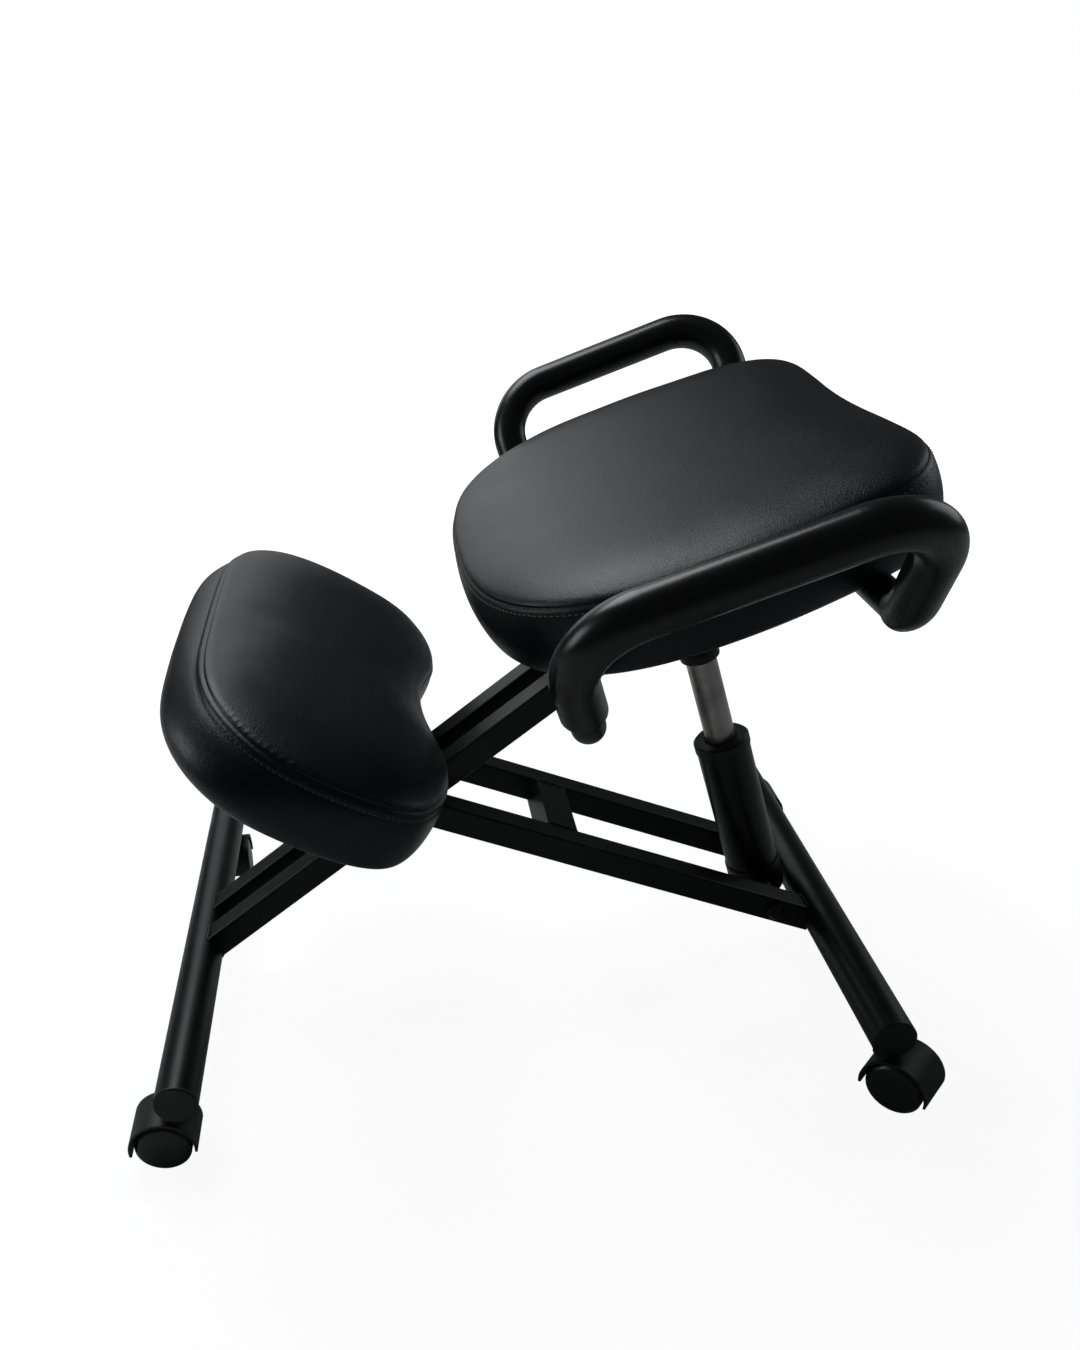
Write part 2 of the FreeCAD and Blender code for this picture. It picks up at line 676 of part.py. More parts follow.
def inset_corners(corners, inset):
    """Move each corner of a closed outline inwards, square to its two sides."""
    count = len(corners)
    moved = []
    for index in range(count):
        before = Vector(*corners[index - 1], 0)
        here = Vector(*corners[index], 0)
        after = Vector(*corners[(index + 1) % count], 0)
        first = (here - before).normalize()
        second = (after - here).normalize()
        bisector = Vector(-first.y - second.y, first.x + second.x, 0).normalize()
        reach = inset / bisector.dot(Vector(-first.y, first.x, 0))
        moved.append((here.x + bisector.x * reach, here.y + bisector.y * reach))
    return moved


def arc_wire(corners, level):
    """A closed wire of lines and tangent arcs, one arc to each corner."""
    count = len(corners)
    points = [Vector(x, y, level) for x, y in corners]
    starts = []
    ends = []
    middles = []
    for index in range(count):
        here = points[index]
        towards_before = points[index - 1] - here
        towards_after = points[(index + 1) % count] - here
        reach = 0.46 * min(towards_before.Length, towards_after.Length)
        start = here + Vector(towards_before).normalize() * reach
        end = here + Vector(towards_after).normalize() * reach
        inward = (Vector(towards_before).normalize() + Vector(towards_after).normalize())
        half_turn = towards_before.getAngle(towards_after) / 2
        radius = reach * math.tan(half_turn)
        from_corner = radius / math.sin(half_turn) - radius
        starts.append(start)
        ends.append(end)
        middles.append(here + inward.normalize() * from_corner)
    edges = []
    for index in range(count):
        edges.append(Part.Arc(starts[index], middles[index], ends[index]).toShape())
        edges.append(Part.makeLine(ends[index], starts[(index + 1) % count]))
    return Part.Wire(edges)


def drawn_towards_centre(corners, inset):
    """Shrink an outline about its middle, by the inset at its widest and longest."""
    half_x = max(x for x, y in corners)
    low = min(y for x, y in corners)
    high = max(y for x, y in corners)
    middle = (low + high) / 2
    shrink_x = 1 - inset / half_x
    shrink_y = 1 - inset / (middle - low)
    return [(x * shrink_x, middle + (y - middle) * shrink_y) for x, y in corners]


def lofted(corners, levels):
    """A closed solid through (level, inset, draw) sections of one outline."""
    wires = []
    for level, inset, draw in levels:
        section = drawn_towards_centre(inset_corners(corners, inset), draw)
        wires.append(arc_wire(section, level))
    return Part.makeLoft(wires, True, True)


def prism(corners, inset, low, high):
    """A straight-sided solid over the inset outline."""
    face = Part.Face(arc_wire(inset_corners(corners, inset), low))
    return face.extrude(Vector(0, 0, high - low))


def cushion_levels(depth, bulge, crown, pinch):
    """Level, inset and draw towards the middle of each section, from the underside up."""
    return (
        (-depth, 9.0, 0.0), (-depth + 2.0, 4.5, 0.0), (-depth + 7.0, 1.0, 0.0),
        (-depth * 0.66, -0.75 * bulge, 0.0), (-depth * 0.45, -bulge, 0.0),
        (-depth * 0.2, -0.6 * bulge, 0.0), (-2.6, 0.0, 0.0), (-0.6, pinch, 0.0),
        (0.9, pinch, 0.0), (2.9, pinch, 1.2), (crown * 0.45, pinch, 9.0),
        (crown * 0.72, pinch, 24.0), (crown * 0.9, pinch, 46.0), (crown, pinch, 78.0),
    )


half = float(d.seat_half)
front = float(d.seat_front)
rear = float(d.seat_rear)
seat_corners = mirrored([
    (30.0, front), (88.0, front + 4.0), (140.0, front + 15.0), (184.0, front + 38.0),
    (214.0, front + 70.0), (half - 6.0, front + 110.0), (half, front + 158.0),
    (half - 2.0, front + 212.0), (half - 12.0, front + 264.0), (half - 24.0, rear - 40.0),
    (half - 50.0, rear - 12.0), (half - 90.0, rear + 1.0), (half - 148.0, rear - 1.0),
    (28.0, rear - 5.5),
])
knee_half = float(d.knee_half)
knee_corners = mirrored([
    (40.0, -113.0), (118.0, -111.5), (165.0, -101.0), (201.0, -78.0),
    (knee_half - 6.0, -45.0), (knee_half, -2.0), (knee_half - 4.0, 46.0),
    (knee_half - 22.0, 84.0), (172.0, 104.0), (136.0, 112.0), (98.0, 112.0),
    (66.0, 103.0), (26.0, 92.5),
])
screw_radius = d.board_screw_dia / 2
boxing = float(d.boxing)
board_top = -boxing + float(d.board_thick)


def screw_tool(points, low, high, radius):
    """Upright cylinders at each point, as one compound of solids."""
    rods = [
        Part.makeCylinder(float(radius), high - low, Vector(x, y, low)) for x, y in points
    ]
    return Part.makeCompound(rods)


def padded(label, corners, crown, bulge, screws, frame):
    """Upholstered cushion and the board that its underside is wrapped round."""
    inset = float(d.board_inset)
    board = prism(corners, inset, -boxing, board_top)
    bite = float(d.board_screw_bite)
    board = board.cut(screw_tool(screws, -boxing - 1.0, -boxing + bite, screw_radius))
    cushion = lofted(corners, cushion_levels(boxing, bulge, crown, float(d.seam_pinch)))
    cushion = cushion.cut(prism(corners, inset, -boxing - 1.0, board_top))
    for suffix, shape in (("_board", board), ("_cushion", cushion)):
        feature = document.addObject("Part::Feature", label + suffix)
        solids = shape.Solids
        feature.Shape = solids[0] if len(solids) == 1 else shape
        keep(feature, label + suffix, frame)


# Seat bracket: a folded channel whose cheeks straddle the upper bars.
p3 = local(0.0, d.seat_z, d.seat_pitch, Size(
    lift_top_at.y, "(sizes.fold_y + sizes.lift_top_reach * cos(sizes.upper_pitch))"), Size(
    lift_top_at.z, "(sizes.fold_z + sizes.lift_top_reach * sin(sizes.upper_pitch))"))
front_bolt_at = upper_frame.multVec(Vector(0, float(d.bracket_bolt_reach), 0))
pb = local(0.0, d.seat_z, d.seat_pitch, Size(
    front_bolt_at.y, "(sizes.fold_y + sizes.bracket_bolt_reach * cos(sizes.upper_pitch))"), Size(
    front_bolt_at.z, "(sizes.fold_z + sizes.bracket_bolt_reach * sin(sizes.upper_pitch))"))
p3 = (p3[0], p3[1] + d.boxing)
pb = (pb[0], pb[1] + d.boxing)
plate_front = pb[0] - 34.0
plate_rear = p3[0] + 62.0
cheek_outer = outer_upper + d.plate_thick
body = new_body("seat_bracket")
top = new_sketch(body, "XY_Plane", "bracket_top")
draw_rectangle(top, -d.plate_half, d.plate_half, plate_front, plate_rear)
pad(body, top, d.plate_thick, flipped=True)
cheek = new_sketch(body, "YZ_Plane", "bracket_cheek")
draw_polygon(cheek, [
    (plate_front + 12.0, -d.plate_thick / 2), (plate_front + 12.0, pb[1] + 4.0),
    (pb[0] - 10.0, pb[1] - 15.0), (pb[0] + 12.0, pb[1] - 15.0),
    (p3[0] + 14.0, p3[1] - 15.0), (p3[0] + 26.0, p3[1] - 4.0),
    (plate_rear - 12.0, -d.plate_thick / 2),
])
pad(body, cheek, cheek_outer * 2, symmetric=True)
hollow = new_sketch(body, "YZ_Plane", "bracket_hollow")
draw_rectangle(hollow, plate_front - 5.0, plate_rear + 5.0, pb[1] - 30.0, -d.plate_thick)
pocket(body, hollow, outer_upper * 2, symmetric=True)
for number, place in enumerate((pb, p3)):
    bore = new_sketch(body, "YZ_Plane", "cheek_bore_%d" % number)
    draw_circle(bore, place[0], place[1], lift_bolt_radius)
    pocket(body, bore, symmetric=True)
bracket_screws = [
    (side * (float(d.plate_half) - 6.5), y)
    for side in (-1, 1) for y in (float(plate_front) + 10.0, float(plate_rear) - 10.0)
]
holes = new_sketch(body, "XY_Plane", "bracket_holes")
for side in (-1.0, 1.0):
    for y in (plate_front + 10.0, plate_rear - 10.0):
        draw_circle(holes, (d.plate_half - 6.5) * side, y, screw_radius)
pocket(body, holes)
keep(body, "seat_bracket", seat_under)

for label, reach in (("bracket_bolt", d.bracket_bolt_reach), ("lift_head_bolt", d.lift_top_reach)):
    body = across_pin(
        label, lift_bolt_radius, -cheek_outer, cheek_outer,
        d.lift_bolt_head, d.bolt_head_high, d.lift_bolt_head, d.nut_high * 0.8,
    )
    at = upper_frame.multVec(Vector(0, float(reach), 0))
    keep(body, label, Placement(at, tilt(d.upper_pitch)))


# Handles: bent tubes under the seat board, up past its edge and back again, with a foam
# grip over the part above the seat's underside.
def filleted_path(points, radii):
    """Straight runs joined by tangent arcs."""
    pieces = []
    last = points[0]
    for index in range(1, len(points) - 1):
        corner = points[index]
        back = (points[index - 1] - corner).normalize()
        onward = (points[index + 1] - corner).normalize()
        half_angle = back.getAngle(onward) / 2
        reach = radii[index - 1] / math.tan(half_angle)
        start = corner + back * reach
        end = corner + onward * reach
        inward = (back + onward).normalize()
        middle = corner + inward * (radii[index - 1] / math.sin(half_angle) - radii[index - 1])
        pieces.append(Part.makeLine(last, start))
        pieces.append(Part.Arc(start, middle, end).toShape())
        last = end
    pieces.append(Part.makeLine(last, points[-1]))
    return pieces


def swept(edges, radius):
    """A round bar along a path."""
    path = Part.Wire(edges)
    start = edges[0].Vertexes[0].Point
    direction = edges[0].tangentAt(edges[0].FirstParameter)
    circle = Part.Wire(Part.Circle(start, direction, radius).toShape())
    return path.makePipeShell([circle], True, False)


handle_level = -boxing - float(d.handle_dia) / 2 - 0.2
side_points = [
    (float(d.handle_end_x), float(d.handle_front_y), handle_level),
    (float(d.handle_foot_x), float(d.handle_front_y), handle_level),
    (float(d.handle_x), float(d.handle_front_y), float(d.handle_top)),
    (float(d.handle_x), float(d.handle_rear_y), float(d.handle_top)),
    (float(d.handle_foot_rear_x), float(d.handle_foot_rear_y), handle_level),
    (float(d.handle_end_x), float(d.handle_foot_rear_y), handle_level),
]
bends = [float(d.handle_foot_bend), float(d.handle_bend), float(d.handle_bend),
         float(d.handle_foot_bend)]
handle_screws = [
    (x, y)
    for y in (float(d.handle_front_y), float(d.handle_foot_rear_y))
    for x in (float(d.handle_end_x) + 20.0, float(d.handle_end_x) + 90.0)
]
screw_places = [
    (side * x, y + back) for side, back in ((-1, float(d.handle_left_back)), (1, 0.0))
    for x, y in handle_screws
]
for name, side, back in (("left", -1, float(d.handle_left_back)), ("right", 1, 0.0)):
    points = [Vector(side * x, y + back, z) for x, y, z in side_points]
    edges = filleted_path(points, bends)
    tube = swept(edges, float(d.handle_dia) / 2)
    bore = swept(edges, float(d.handle_dia) / 2 - float(d.handle_wall))
    drilled = screw_tool(
        [(x, y) for x, y in screw_places if x * side > 0],
        handle_level - float(d.handle_dia), handle_level + float(d.handle_dia), screw_radius,
    )
    feature = document.addObject("Part::Feature", "handle_" + name)
    feature.Shape = tube.cut(bore).cut(drilled).Solids[0]
    keep(feature, "handle_" + name, seat_frame)
    front_run = (points[1] - points[2]).normalize()
    grip_edges = list(edges[3:6])
    low_front = points[2] + front_run * ((float(d.handle_top) + float(d.grip_end)) / -front_run.z)
    grip_edges.insert(0, Part.makeLine(low_front, edges[3].Vertexes[0].Point))
    rear_bend = edges[7]
    reach = (rear_bend.LastParameter - rear_bend.FirstParameter) * float(d.grip_bend_share)
    grip_edges.append(edges[6])
    grip_edges.append(rear_bend.Curve.toShape(
        rear_bend.FirstParameter, rear_bend.FirstParameter + reach))
    foam = swept(grip_edges, float(d.grip_dia) / 2)
    core = swept(grip_edges, float(d.handle_dia) / 2)
    feature = document.addObject("Part::Feature", "grip_" + name)
    feature.Shape = foam.cut(core).Solids[0]
    keep(feature, "grip_" + name, seat_frame)


def board_screw(name, x, y, under, frame):
    """A pan-head screw from below into a board; under is the level of its head's seat."""
    body = new_body(name)
    head = d.board_screw_head / 2
    tip = -d.boxing + d.board_screw_bite - 0.5
    revolve(
        body, "XZ_Plane", name + "_outline",
        [(0.0, under - 4.0), (head * 0.6, under - 4.0), (head, under - 2.2), (head, under),
         (screw_radius, under), (screw_radius, tip), (0.0, tip)],
        "V_Axis",
    )
    body.Placement = frame.multiply(Placement(Vector(x, y, 0), Rotation()))
    return body


padded("seat", seat_corners, float(d.seat_crown), float(d.boxing_bulge),
       bracket_screws + screw_places,
       seat_frame)
group(
    "bracket_screws",
    [board_screw("bracket_screw_%d" % i, x, y, -d.boxing - d.plate_thick, seat_frame)
     for i, (x, y) in enumerate(bracket_screws)],
)
group(
    "handle_screws",
    [board_screw("handle_screw_%d" % i, x, y, -d.boxing - d.handle_dia - 0.2, seat_frame)
     for i, (x, y) in enumerate(screw_places)],
)

# Knee rest: wedge brackets of bent flat steel on the lower bars carry its board.
knee_board_low = local(d.fold_y, d.fold_z, d.lower_pitch, d.knee_y, d.knee_z)
slope = d.knee_pitch - d.lower_pitch


def board_under(reach):
    """Height of the board's underside over the lower bars' axis at a distance ahead."""
    base_y = knee_board_low[0] + sine(slope) * d.boxing
    base_z = knee_board_low[1] - cosine(slope) * d.boxing
    return base_z + (-reach - base_y) * sine(slope) / cosine(slope)


near = d.wedge_near
far = d.wedge_far
wall = d.wedge_wall
knee_screws = []
for name, side in (("left", -1.0), ("right", 1.0)):
    label = "knee_bracket_" + name
    body = new_body(label)
    outline = new_sketch(body, "YZ_Plane", label + "_side")
    draw_polygon(outline, [
        (-far, half_width), (-near, half_width), (-near, board_under(near)),
        (-far, board_under(far)),
    ])
    pad(body, outline, (d.lower_offset + half_width) * 2, symmetric=True)
    hollow = new_sketch(body, "YZ_Plane", label + "_hollow")
    draw_polygon(hollow, [
        (-far + wall, half_width + wall), (-near - 30.0, half_width + wall),
        (-near - 30.0, board_under(near + 30.0) - wall), (-far + wall, board_under(far - wall) - wall),
    ])
    pocket(body, hollow, symmetric=True)
    trim = new_sketch(body, "XY_Plane", label + "_trim")
    edge = d.lower_offset - half_width
    if side > 0:
        draw_rectangle(trim, -d.lower_offset * 2, edge, -far * 2, far)
    else:
        draw_rectangle(trim, -edge, d.lower_offset * 2, -far * 2, far)
    pocket(body, trim, far, second=far)
    for reach in (near + 52.0, far - 26.0):
        y, z = float(-reach), float(board_under(reach))
        top = knee_frame.inverse().multVec(lower_frame.multVec(Vector(0, y, z)))
        knee_screws.append((side * float(d.lower_offset), top.y))
    keep(body, label, lower_frame)
    drill = new_sketch(body, "XY_Plane", label + "_drill")
    for reach in (near + 52.0, far - 26.0):
        draw_circle(drill, d.lower_offset * side, -reach, screw_radius + 0.6)
    pocket(body, drill, far, flipped=True)

padded("knee", knee_corners, float(d.knee_crown), float(d.knee_bulge), knee_screws, knee_frame)
group(
    "knee_screws",
    [board_screw("knee_screw_%d" % i, x, y, -d.boxing - d.wedge_wall, knee_frame)
     for i, (x, y) in enumerate(knee_screws)],
)


# Casters: swivel stem, hood over twin wheels, axle and two wheels, trailing along +Y.
wheel_radius = d.wheel_dia / 2
axle_radius = d.axle_dia / 2
hood_radius = d.hood_dia / 2


def half_disc(sketch, radius):
    """The part of a disc about the axle that lies above the hood's lower edge."""
    low = wheel_radius - d.hood_drop
    reach = root(radius * radius - d.hood_drop * d.hood_drop)
    centre = Vector(float(d.trail), float(wheel_radius), 0)
    dip = math.atan2(float(d.hood_drop), float(reach))
    circle = Part.Circle(centre, Vector(0, 0, 1), float(radius))
    arc = sketch.addGeometry(Part.ArcOfCircle(circle, -dip, math.pi + dip), False)
    left = Vector(float(d.trail - reach), float(low), 0)
    right = Vector(float(d.trail + reach), float(low), 0)
    line = sketch.addGeometry(Part.LineSegment(left, right), False)
    sketch.addConstraint(Sketcher.Constraint("Coincident", arc, 2, line, 1))
    sketch.addConstraint(Sketcher.Constraint("Coincident", line, 2, arc, 1))
    sketch.addConstraint(Sketcher.Constraint("Horizontal", line))
    constrain(sketch, "Radius", arc, amount=radius)
    constrain(sketch, "DistanceX", -1, 1, arc, 3, amount=d.trail)
    constrain(sketch, "DistanceY", -1, 1, arc, 3, amount=wheel_radius)
    constrain(sketch, "DistanceY", -1, 1, line, 1, amount=low)


def caster_pieces(label, x, y, turn):
    place = Placement(Vector(x, y, 0), Rotation(Vector(0, 0, 1), turn))
    shoulder = d.tube_height - tube_radius - d.seat_gap
    body = new_body(label + "_hood")
    shell = new_sketch(body, "YZ_Plane", label + "_shell")
    half_disc(shell, hood_radius)
    pad(body, shell, d.hood_wide, symmetric=True)
    boss = new_sketch(body, "XZ_Plane", label + "_boss")
    boss_low = wheel_radius + root(
        (hood_radius - d.hood_wall) * (hood_radius - d.hood_wall) - d.trail * d.trail)
    boss_radius = d.hood_boss / 2
    draw_rectangle(boss, 0.0, boss_radius, boss_low + 0.6, shoulder - 1.5)
    feature = body.newObject("PartDesign::Revolution", label + "_boss_turn")
    feature.Profile = boss
    feature.ReferenceAxis = (boss, ["V_Axis"])
    feature.Angle = 360.0
    inside = new_sketch(body, "YZ_Plane", label + "_inside")
    half_disc(inside, hood_radius - d.hood_wall)
    pocket(body, inside, symmetric=True)
    web = new_sketch(body, "YZ_Plane", label + "_web")
    half_disc(web, hood_radius - d.hood_wall / 2)
    pad(body, web, d.web_thick, symmetric=True)
    hub = new_sketch(body, "YZ_Plane", label + "_hub")
    draw_circle(hub, d.trail, wheel_radius, axle_radius * 2)
    pad(body, hub, d.web_thick, symmetric=True)
    bores = new_sketch(body, "XY_Plane", label + "_stem_bore")
    draw_circle(bores, 0.0, 0.0, d.stem_dia / 2)
    pocket(body, bores, shoulder + 5.0, flipped=True)
    axle_bore = new_sketch(body, "YZ_Plane", label + "_axle_bore")
    draw_circle(axle_bore, d.trail, wheel_radius, axle_radius)
    pocket(body, axle_bore, symmetric=True)
    keep(body, label + "_hood", place)

    stem_low = wheel_radius + d.stem_dia
    body = new_body(label + "_stem")
    stem_radius = d.stem_dia / 2
    collar = d.hood_boss / 2 - 1.0
    revolve(
        body, "XZ_Plane", label + "_stem_outline",
        [(0.0, stem_low), (stem_radius, stem_low), (stem_radius, shoulder - 1.5),
         (collar, shoulder - 1.5), (collar, shoulder), (stem_radius, shoulder),
         (stem_radius, d.tube_height + d.stem_bite - 1.0),
         (stem_radius - 1.0, d.tube_height + d.stem_bite), (0.0, d.tube_height + d.stem_bite)],
        "V_Axis",
    )
    keep(body, label + "_stem", place)

    axle_at = place.multiply(Placement(
        Vector(0, float(d.trail), float(wheel_radius)), Rotation()))
    body = new_body(label + "_axle")
    section = new_sketch(body, "YZ_Plane", label + "_axle_section")
    draw_circle(section, 0.0, 0.0, axle_radius)
    pad(body, section, d.axle_long, symmetric=True)
    keep(body, label + "_axle", axle_at)

    start = d.web_thick / 2 + d.wheel_gap
    end = start + d.wheel_wide
    fit = axle_radius + d.running_fit
    depth = d.axle_long / 2 + 0.4
    for name, side in (("left", 0.0), ("right", 180.0)):
        wheel_label = "%s_wheel_%s" % (label, name)
        body = new_body(wheel_label)
        turned = revolve(
            body, "XY_Plane", wheel_label + "_outline",
            [(start, fit), (start, wheel_radius - 0.6), (start + 0.6, wheel_radius),
             (end - d.wheel_round, wheel_radius), (end - 0.8, wheel_radius - 3.0),
             (end, wheel_radius - 6.5), (end, 0.0), (depth, 0.0), (depth, fit)],
            "H_Axis",
        )
        rotation = Rotation(Vector(0, 0, 1), 180.0 - side)
        keep(body, wheel_label, axle_at.multiply(Placement(ZERO, rotation)))


stem_x = float(d.stem_x)
for label, x, y, turn in (
    ("caster_front_right", stem_x, front_y, 180.0),
    ("caster_front_left", -stem_x, front_y, -88.0),
    ("caster_rear_right", stem_x, rear_y, -44.0),
    ("caster_rear_left", -stem_x, rear_y, 0.0),
):
    caster_pieces(label, x, y, turn)

document.recompute()
faults = []
for thing in document.Objects:
    if "Invalid" in thing.State or "Error" in thing.State:
        faults.append("%s %s" % (thing.Name, thing.State))
for thing in sub_parts:
    if thing.Shape.isNull() or not thing.Shape.isValid():
        faults.append("%s has no valid shape" % thing.Label)
if faults:
    raise RuntimeError("; ".join(faults))
os.makedirs("parts", exist_ok=True)
for thing in sub_parts:
    thing.Shape.exportStep("parts/%s.step" % thing.Label)
    box = thing.Shape.BoundBox
    print("%-28s %2d solids %10.0f mm3  %7.1f %7.1f %7.1f  %7.1f %7.1f %7.1f" % (
        thing.Label, len(thing.Shape.Solids), thing.Shape.Volume,
        box.XMin, box.YMin, box.ZMin, box.XMax, box.YMax, box.ZMax))
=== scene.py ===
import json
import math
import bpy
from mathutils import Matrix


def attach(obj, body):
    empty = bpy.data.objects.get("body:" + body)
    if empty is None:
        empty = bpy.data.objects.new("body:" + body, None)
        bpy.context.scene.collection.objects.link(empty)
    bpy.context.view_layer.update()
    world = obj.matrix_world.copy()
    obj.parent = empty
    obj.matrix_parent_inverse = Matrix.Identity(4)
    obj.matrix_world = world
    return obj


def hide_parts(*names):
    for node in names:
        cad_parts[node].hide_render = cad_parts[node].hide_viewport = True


bl_info = {
    "name": "Kneeling chair dressing",
    "version": (1, 0, 0),
    "blender": (4, 5, 0),
    "location": "3D View > Sidebar > Chair",
    "description": "Upholstery, grips, welds, finishes and stage for the kneeling chair frame",
    "category": "Object",
}

import bpy
from bpy.props import FloatProperty, FloatVectorProperty, IntProperty, PointerProperty
from mathutils import Matrix, Vector, noise

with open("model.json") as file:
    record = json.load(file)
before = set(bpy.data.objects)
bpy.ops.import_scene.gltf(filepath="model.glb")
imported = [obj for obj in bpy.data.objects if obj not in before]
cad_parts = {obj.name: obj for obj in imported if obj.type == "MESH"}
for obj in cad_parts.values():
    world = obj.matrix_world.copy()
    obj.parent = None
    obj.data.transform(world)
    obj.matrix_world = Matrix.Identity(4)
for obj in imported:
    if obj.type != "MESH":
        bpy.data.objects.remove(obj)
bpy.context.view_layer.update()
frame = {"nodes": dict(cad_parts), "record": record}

MM = 0.001
CALM_PASSES = 9  # how often the swell of a cover is evened out over its neighbours
CLOTH_STEPS = 20
BOARD_LEVELS = (-64.0, -58.5)  # levels at which a cover is held to its board, in millimetres
SEAT_SEAM_LEVELS = (-3.0, 2.0)  # the same for the seams
KNEE_SEAM_LEVELS = (-8.6, 2.0)
KNEE_FLARE = 13.0  # how far the knee rest's front boxing stands out, in millimetres
GATHER_RATE = 0.98  # radians of ripple per millimetre along the seam
# Gathers above and below the knee rest's seam: middle and reach along it, level and half
# width across it, all in millimetres, and height in metres
BAND_GATHERS = (118.0, 62.0, 2.4, 2.8, 0.00030)
BOXING_GATHERS = (60.0, 70.0, -4.4, 3.6, 0.00024)
STITCH_RADIUS = 0.00048
STITCH_LIFT = 0.00012
STITCH_LEAN = math.radians(7.0)
BAR_HALF = 0.0125  # half the side of a square bar
TUBE_RADIUS = 0.0190


# Sizes and colours that a user would change

class CoverSettings(bpy.types.PropertyGroup):
    seat_crown: FloatProperty(
        name="Seat crown", description="Height of the seat's middle above its seam",
        default=0.0125, min=0.0, max=0.03, unit="LENGTH")
    knee_crown: FloatProperty(
        name="Knee rest crown", description="Height of the knee rest's middle above its seam",
        default=0.0135, min=0.0, max=0.03, unit="LENGTH")
    stitch_pitch: FloatProperty(
        name="Stitch pitch", description="Distance from one stitch to the next",
        default=0.0052, min=0.003, max=0.01, unit="LENGTH")
    curve_steps: IntProperty(
        name="Outline steps", description="Points round each cushion outline",
        default=132, min=48, max=240)
    leather: FloatVectorProperty(
        name="Cover colour", description="Colour of the leather-look cover",
        default=(0.0040, 0.0047, 0.0056), subtype="COLOR", min=0.0, max=1.0)
    thread: FloatVectorProperty(
        name="Thread colour", description="Colour of the topstitching",
        default=(0.165, 0.130, 0.090), subtype="COLOR", min=0.0, max=1.0)


class MetalSettings(bpy.types.PropertyGroup):
    paint: FloatVectorProperty(
        name="Paint colour", description="Colour of the satin paint on tubes and bars",
        default=(0.0028, 0.0029, 0.0031), subtype="COLOR", min=0.0, max=1.0)
    plastic: FloatVectorProperty(
        name="Plastic colour", description="Colour of caps, hoods and collar",
        default=(0.0038, 0.0041, 0.0046), subtype="COLOR", min=0.0, max=1.0)
    bare: FloatVectorProperty(
        name="Bare steel colour", description="Colour of the lift's cylinder and bright parts",
        default=(0.44, 0.44, 0.42), subtype="COLOR", min=0.0, max=1.0)


class StageSettings(bpy.types.PropertyGroup):
    key_power: FloatProperty(
        name="Key light", description="Power of the large overhead light in watts",
        default=22.5, min=0.0)
    floor_colour: FloatVectorProperty(
        name="Floor colour", description="Colour of the floor",
        default=(0.60, 0.60, 0.60), subtype="COLOR", min=0.0, max=1.0)
    sky_level: FloatProperty(
        name="Room light", description="Strength of the even light from all round",
        default=0.055, min=0.0)


# Small helpers

def in_object_mode():
    if bpy.context.object is not None and bpy.context.object.mode != "OBJECT":
        bpy.ops.object.mode_set(mode="OBJECT")


def deselect_all():
    in_object_mode()
    bpy.ops.object.select_all(action="DESELECT")


def make_active(piece):
    deselect_all()
    piece.select_set(True)
    bpy.context.view_layer.objects.active = piece


def wrapped_tube(name, rings):
    """A sheet of quads wrapped round through rings of points, seam and poles merged."""
    deselect_all()
    around = len(rings[0])
    bpy.ops.mesh.primitive_grid_add(
        x_subdivisions=around, y_subdivisions=len(rings) - 1, size=1.0)
    piece = bpy.context.object
    piece.name = name
    piece.data.name = name
    width = around + 1
    vertices = piece.data.vertices
    for row, ring in enumerate(rings):
        for column in range(width):
            vertices[row * width + column].co = ring[column % around]
    bpy.ops.object.mode_set(mode="EDIT")
    bpy.ops.mesh.select_all(action="SELECT")
    bpy.ops.mesh.remove_doubles(threshold=1e-6)
    bpy.ops.mesh.normals_make_consistent(inside=False)
    bpy.ops.object.mode_set(mode="OBJECT")
    bpy.ops.object.shade_smooth()
    return piece


def subdivide(piece):
    """Round a piece off with two rounds of subdivision."""
    surface = piece.modifiers.new("Subdivision", "SUBSURF")
    surface.levels = 2
    surface.render_levels = 2
    make_active(piece)
    bpy.ops.object.modifier_apply(modifier=surface.name)


def join_into(target, others):
    """Join several pieces into the first."""
    deselect_all()
    for piece in others:
        piece.select_set(True)
    target.select_set(True)
    bpy.context.view_layer.objects.active = target
    bpy.ops.object.join()
    return target


def smooth_outline(corners, count):
    """Evenly spaced points on the smooth closed curve that a corner polygon guides."""
    dense = []
    total = len(corners)
    for index in range(total):
        before = Vector(corners[index - 1])
        here = Vector(corners[index])
        after = Vector(corners[(index + 1) % total])
        start = (before + here) / 2
        end = (here + after) / 2
        for step in range(24):
            t = step / 24
            dense.append(start * (1 - t) ** 2 + here * (2 * t * (1 - t)) + end * t ** 2)
    lengths = [0.0]
    for index in range(len(dense)):
        gap = (dense[(index + 1) % len(dense)] - dense[index]).length
        lengths.append(lengths[-1] + gap)
    points = []
    cursor = 0
    for index in range(count):
        wanted = lengths[-1] * index / count
        while lengths[cursor + 1] < wanted:
            cursor += 1
        part = (wanted - lengths[cursor]) / (lengths[cursor + 1] - lengths[cursor])
        points.append(dense[cursor].lerp(dense[(cursor + 1) % len(dense)], part))
    return points


def inset_ring(points, insets):
    """Points moved square to the outline, inwards for a positive inset."""
    moved = []
    count = len(points)
    for index in range(count):
        along = (points[(index + 1) % count] - points[index - 1]).normalized()
        moved.append(points[index] + Vector((-along.y, along.x)) * insets[index])
    return moved


def draw_ring(points, draw):
    """Points drawn towards the outline's middle, by up to the given distance."""
    half_x = max(p.x for p in points)
    low = min(p.y for p in points)
    high = max(p.y for p in points)
    middle = (low + high) / 2
    across = 1 - draw / half_x
    along = 1 - draw / (middle - low)
    return [Vector((p.x * across, middle + (p.y - middle) * along)) for p in points]


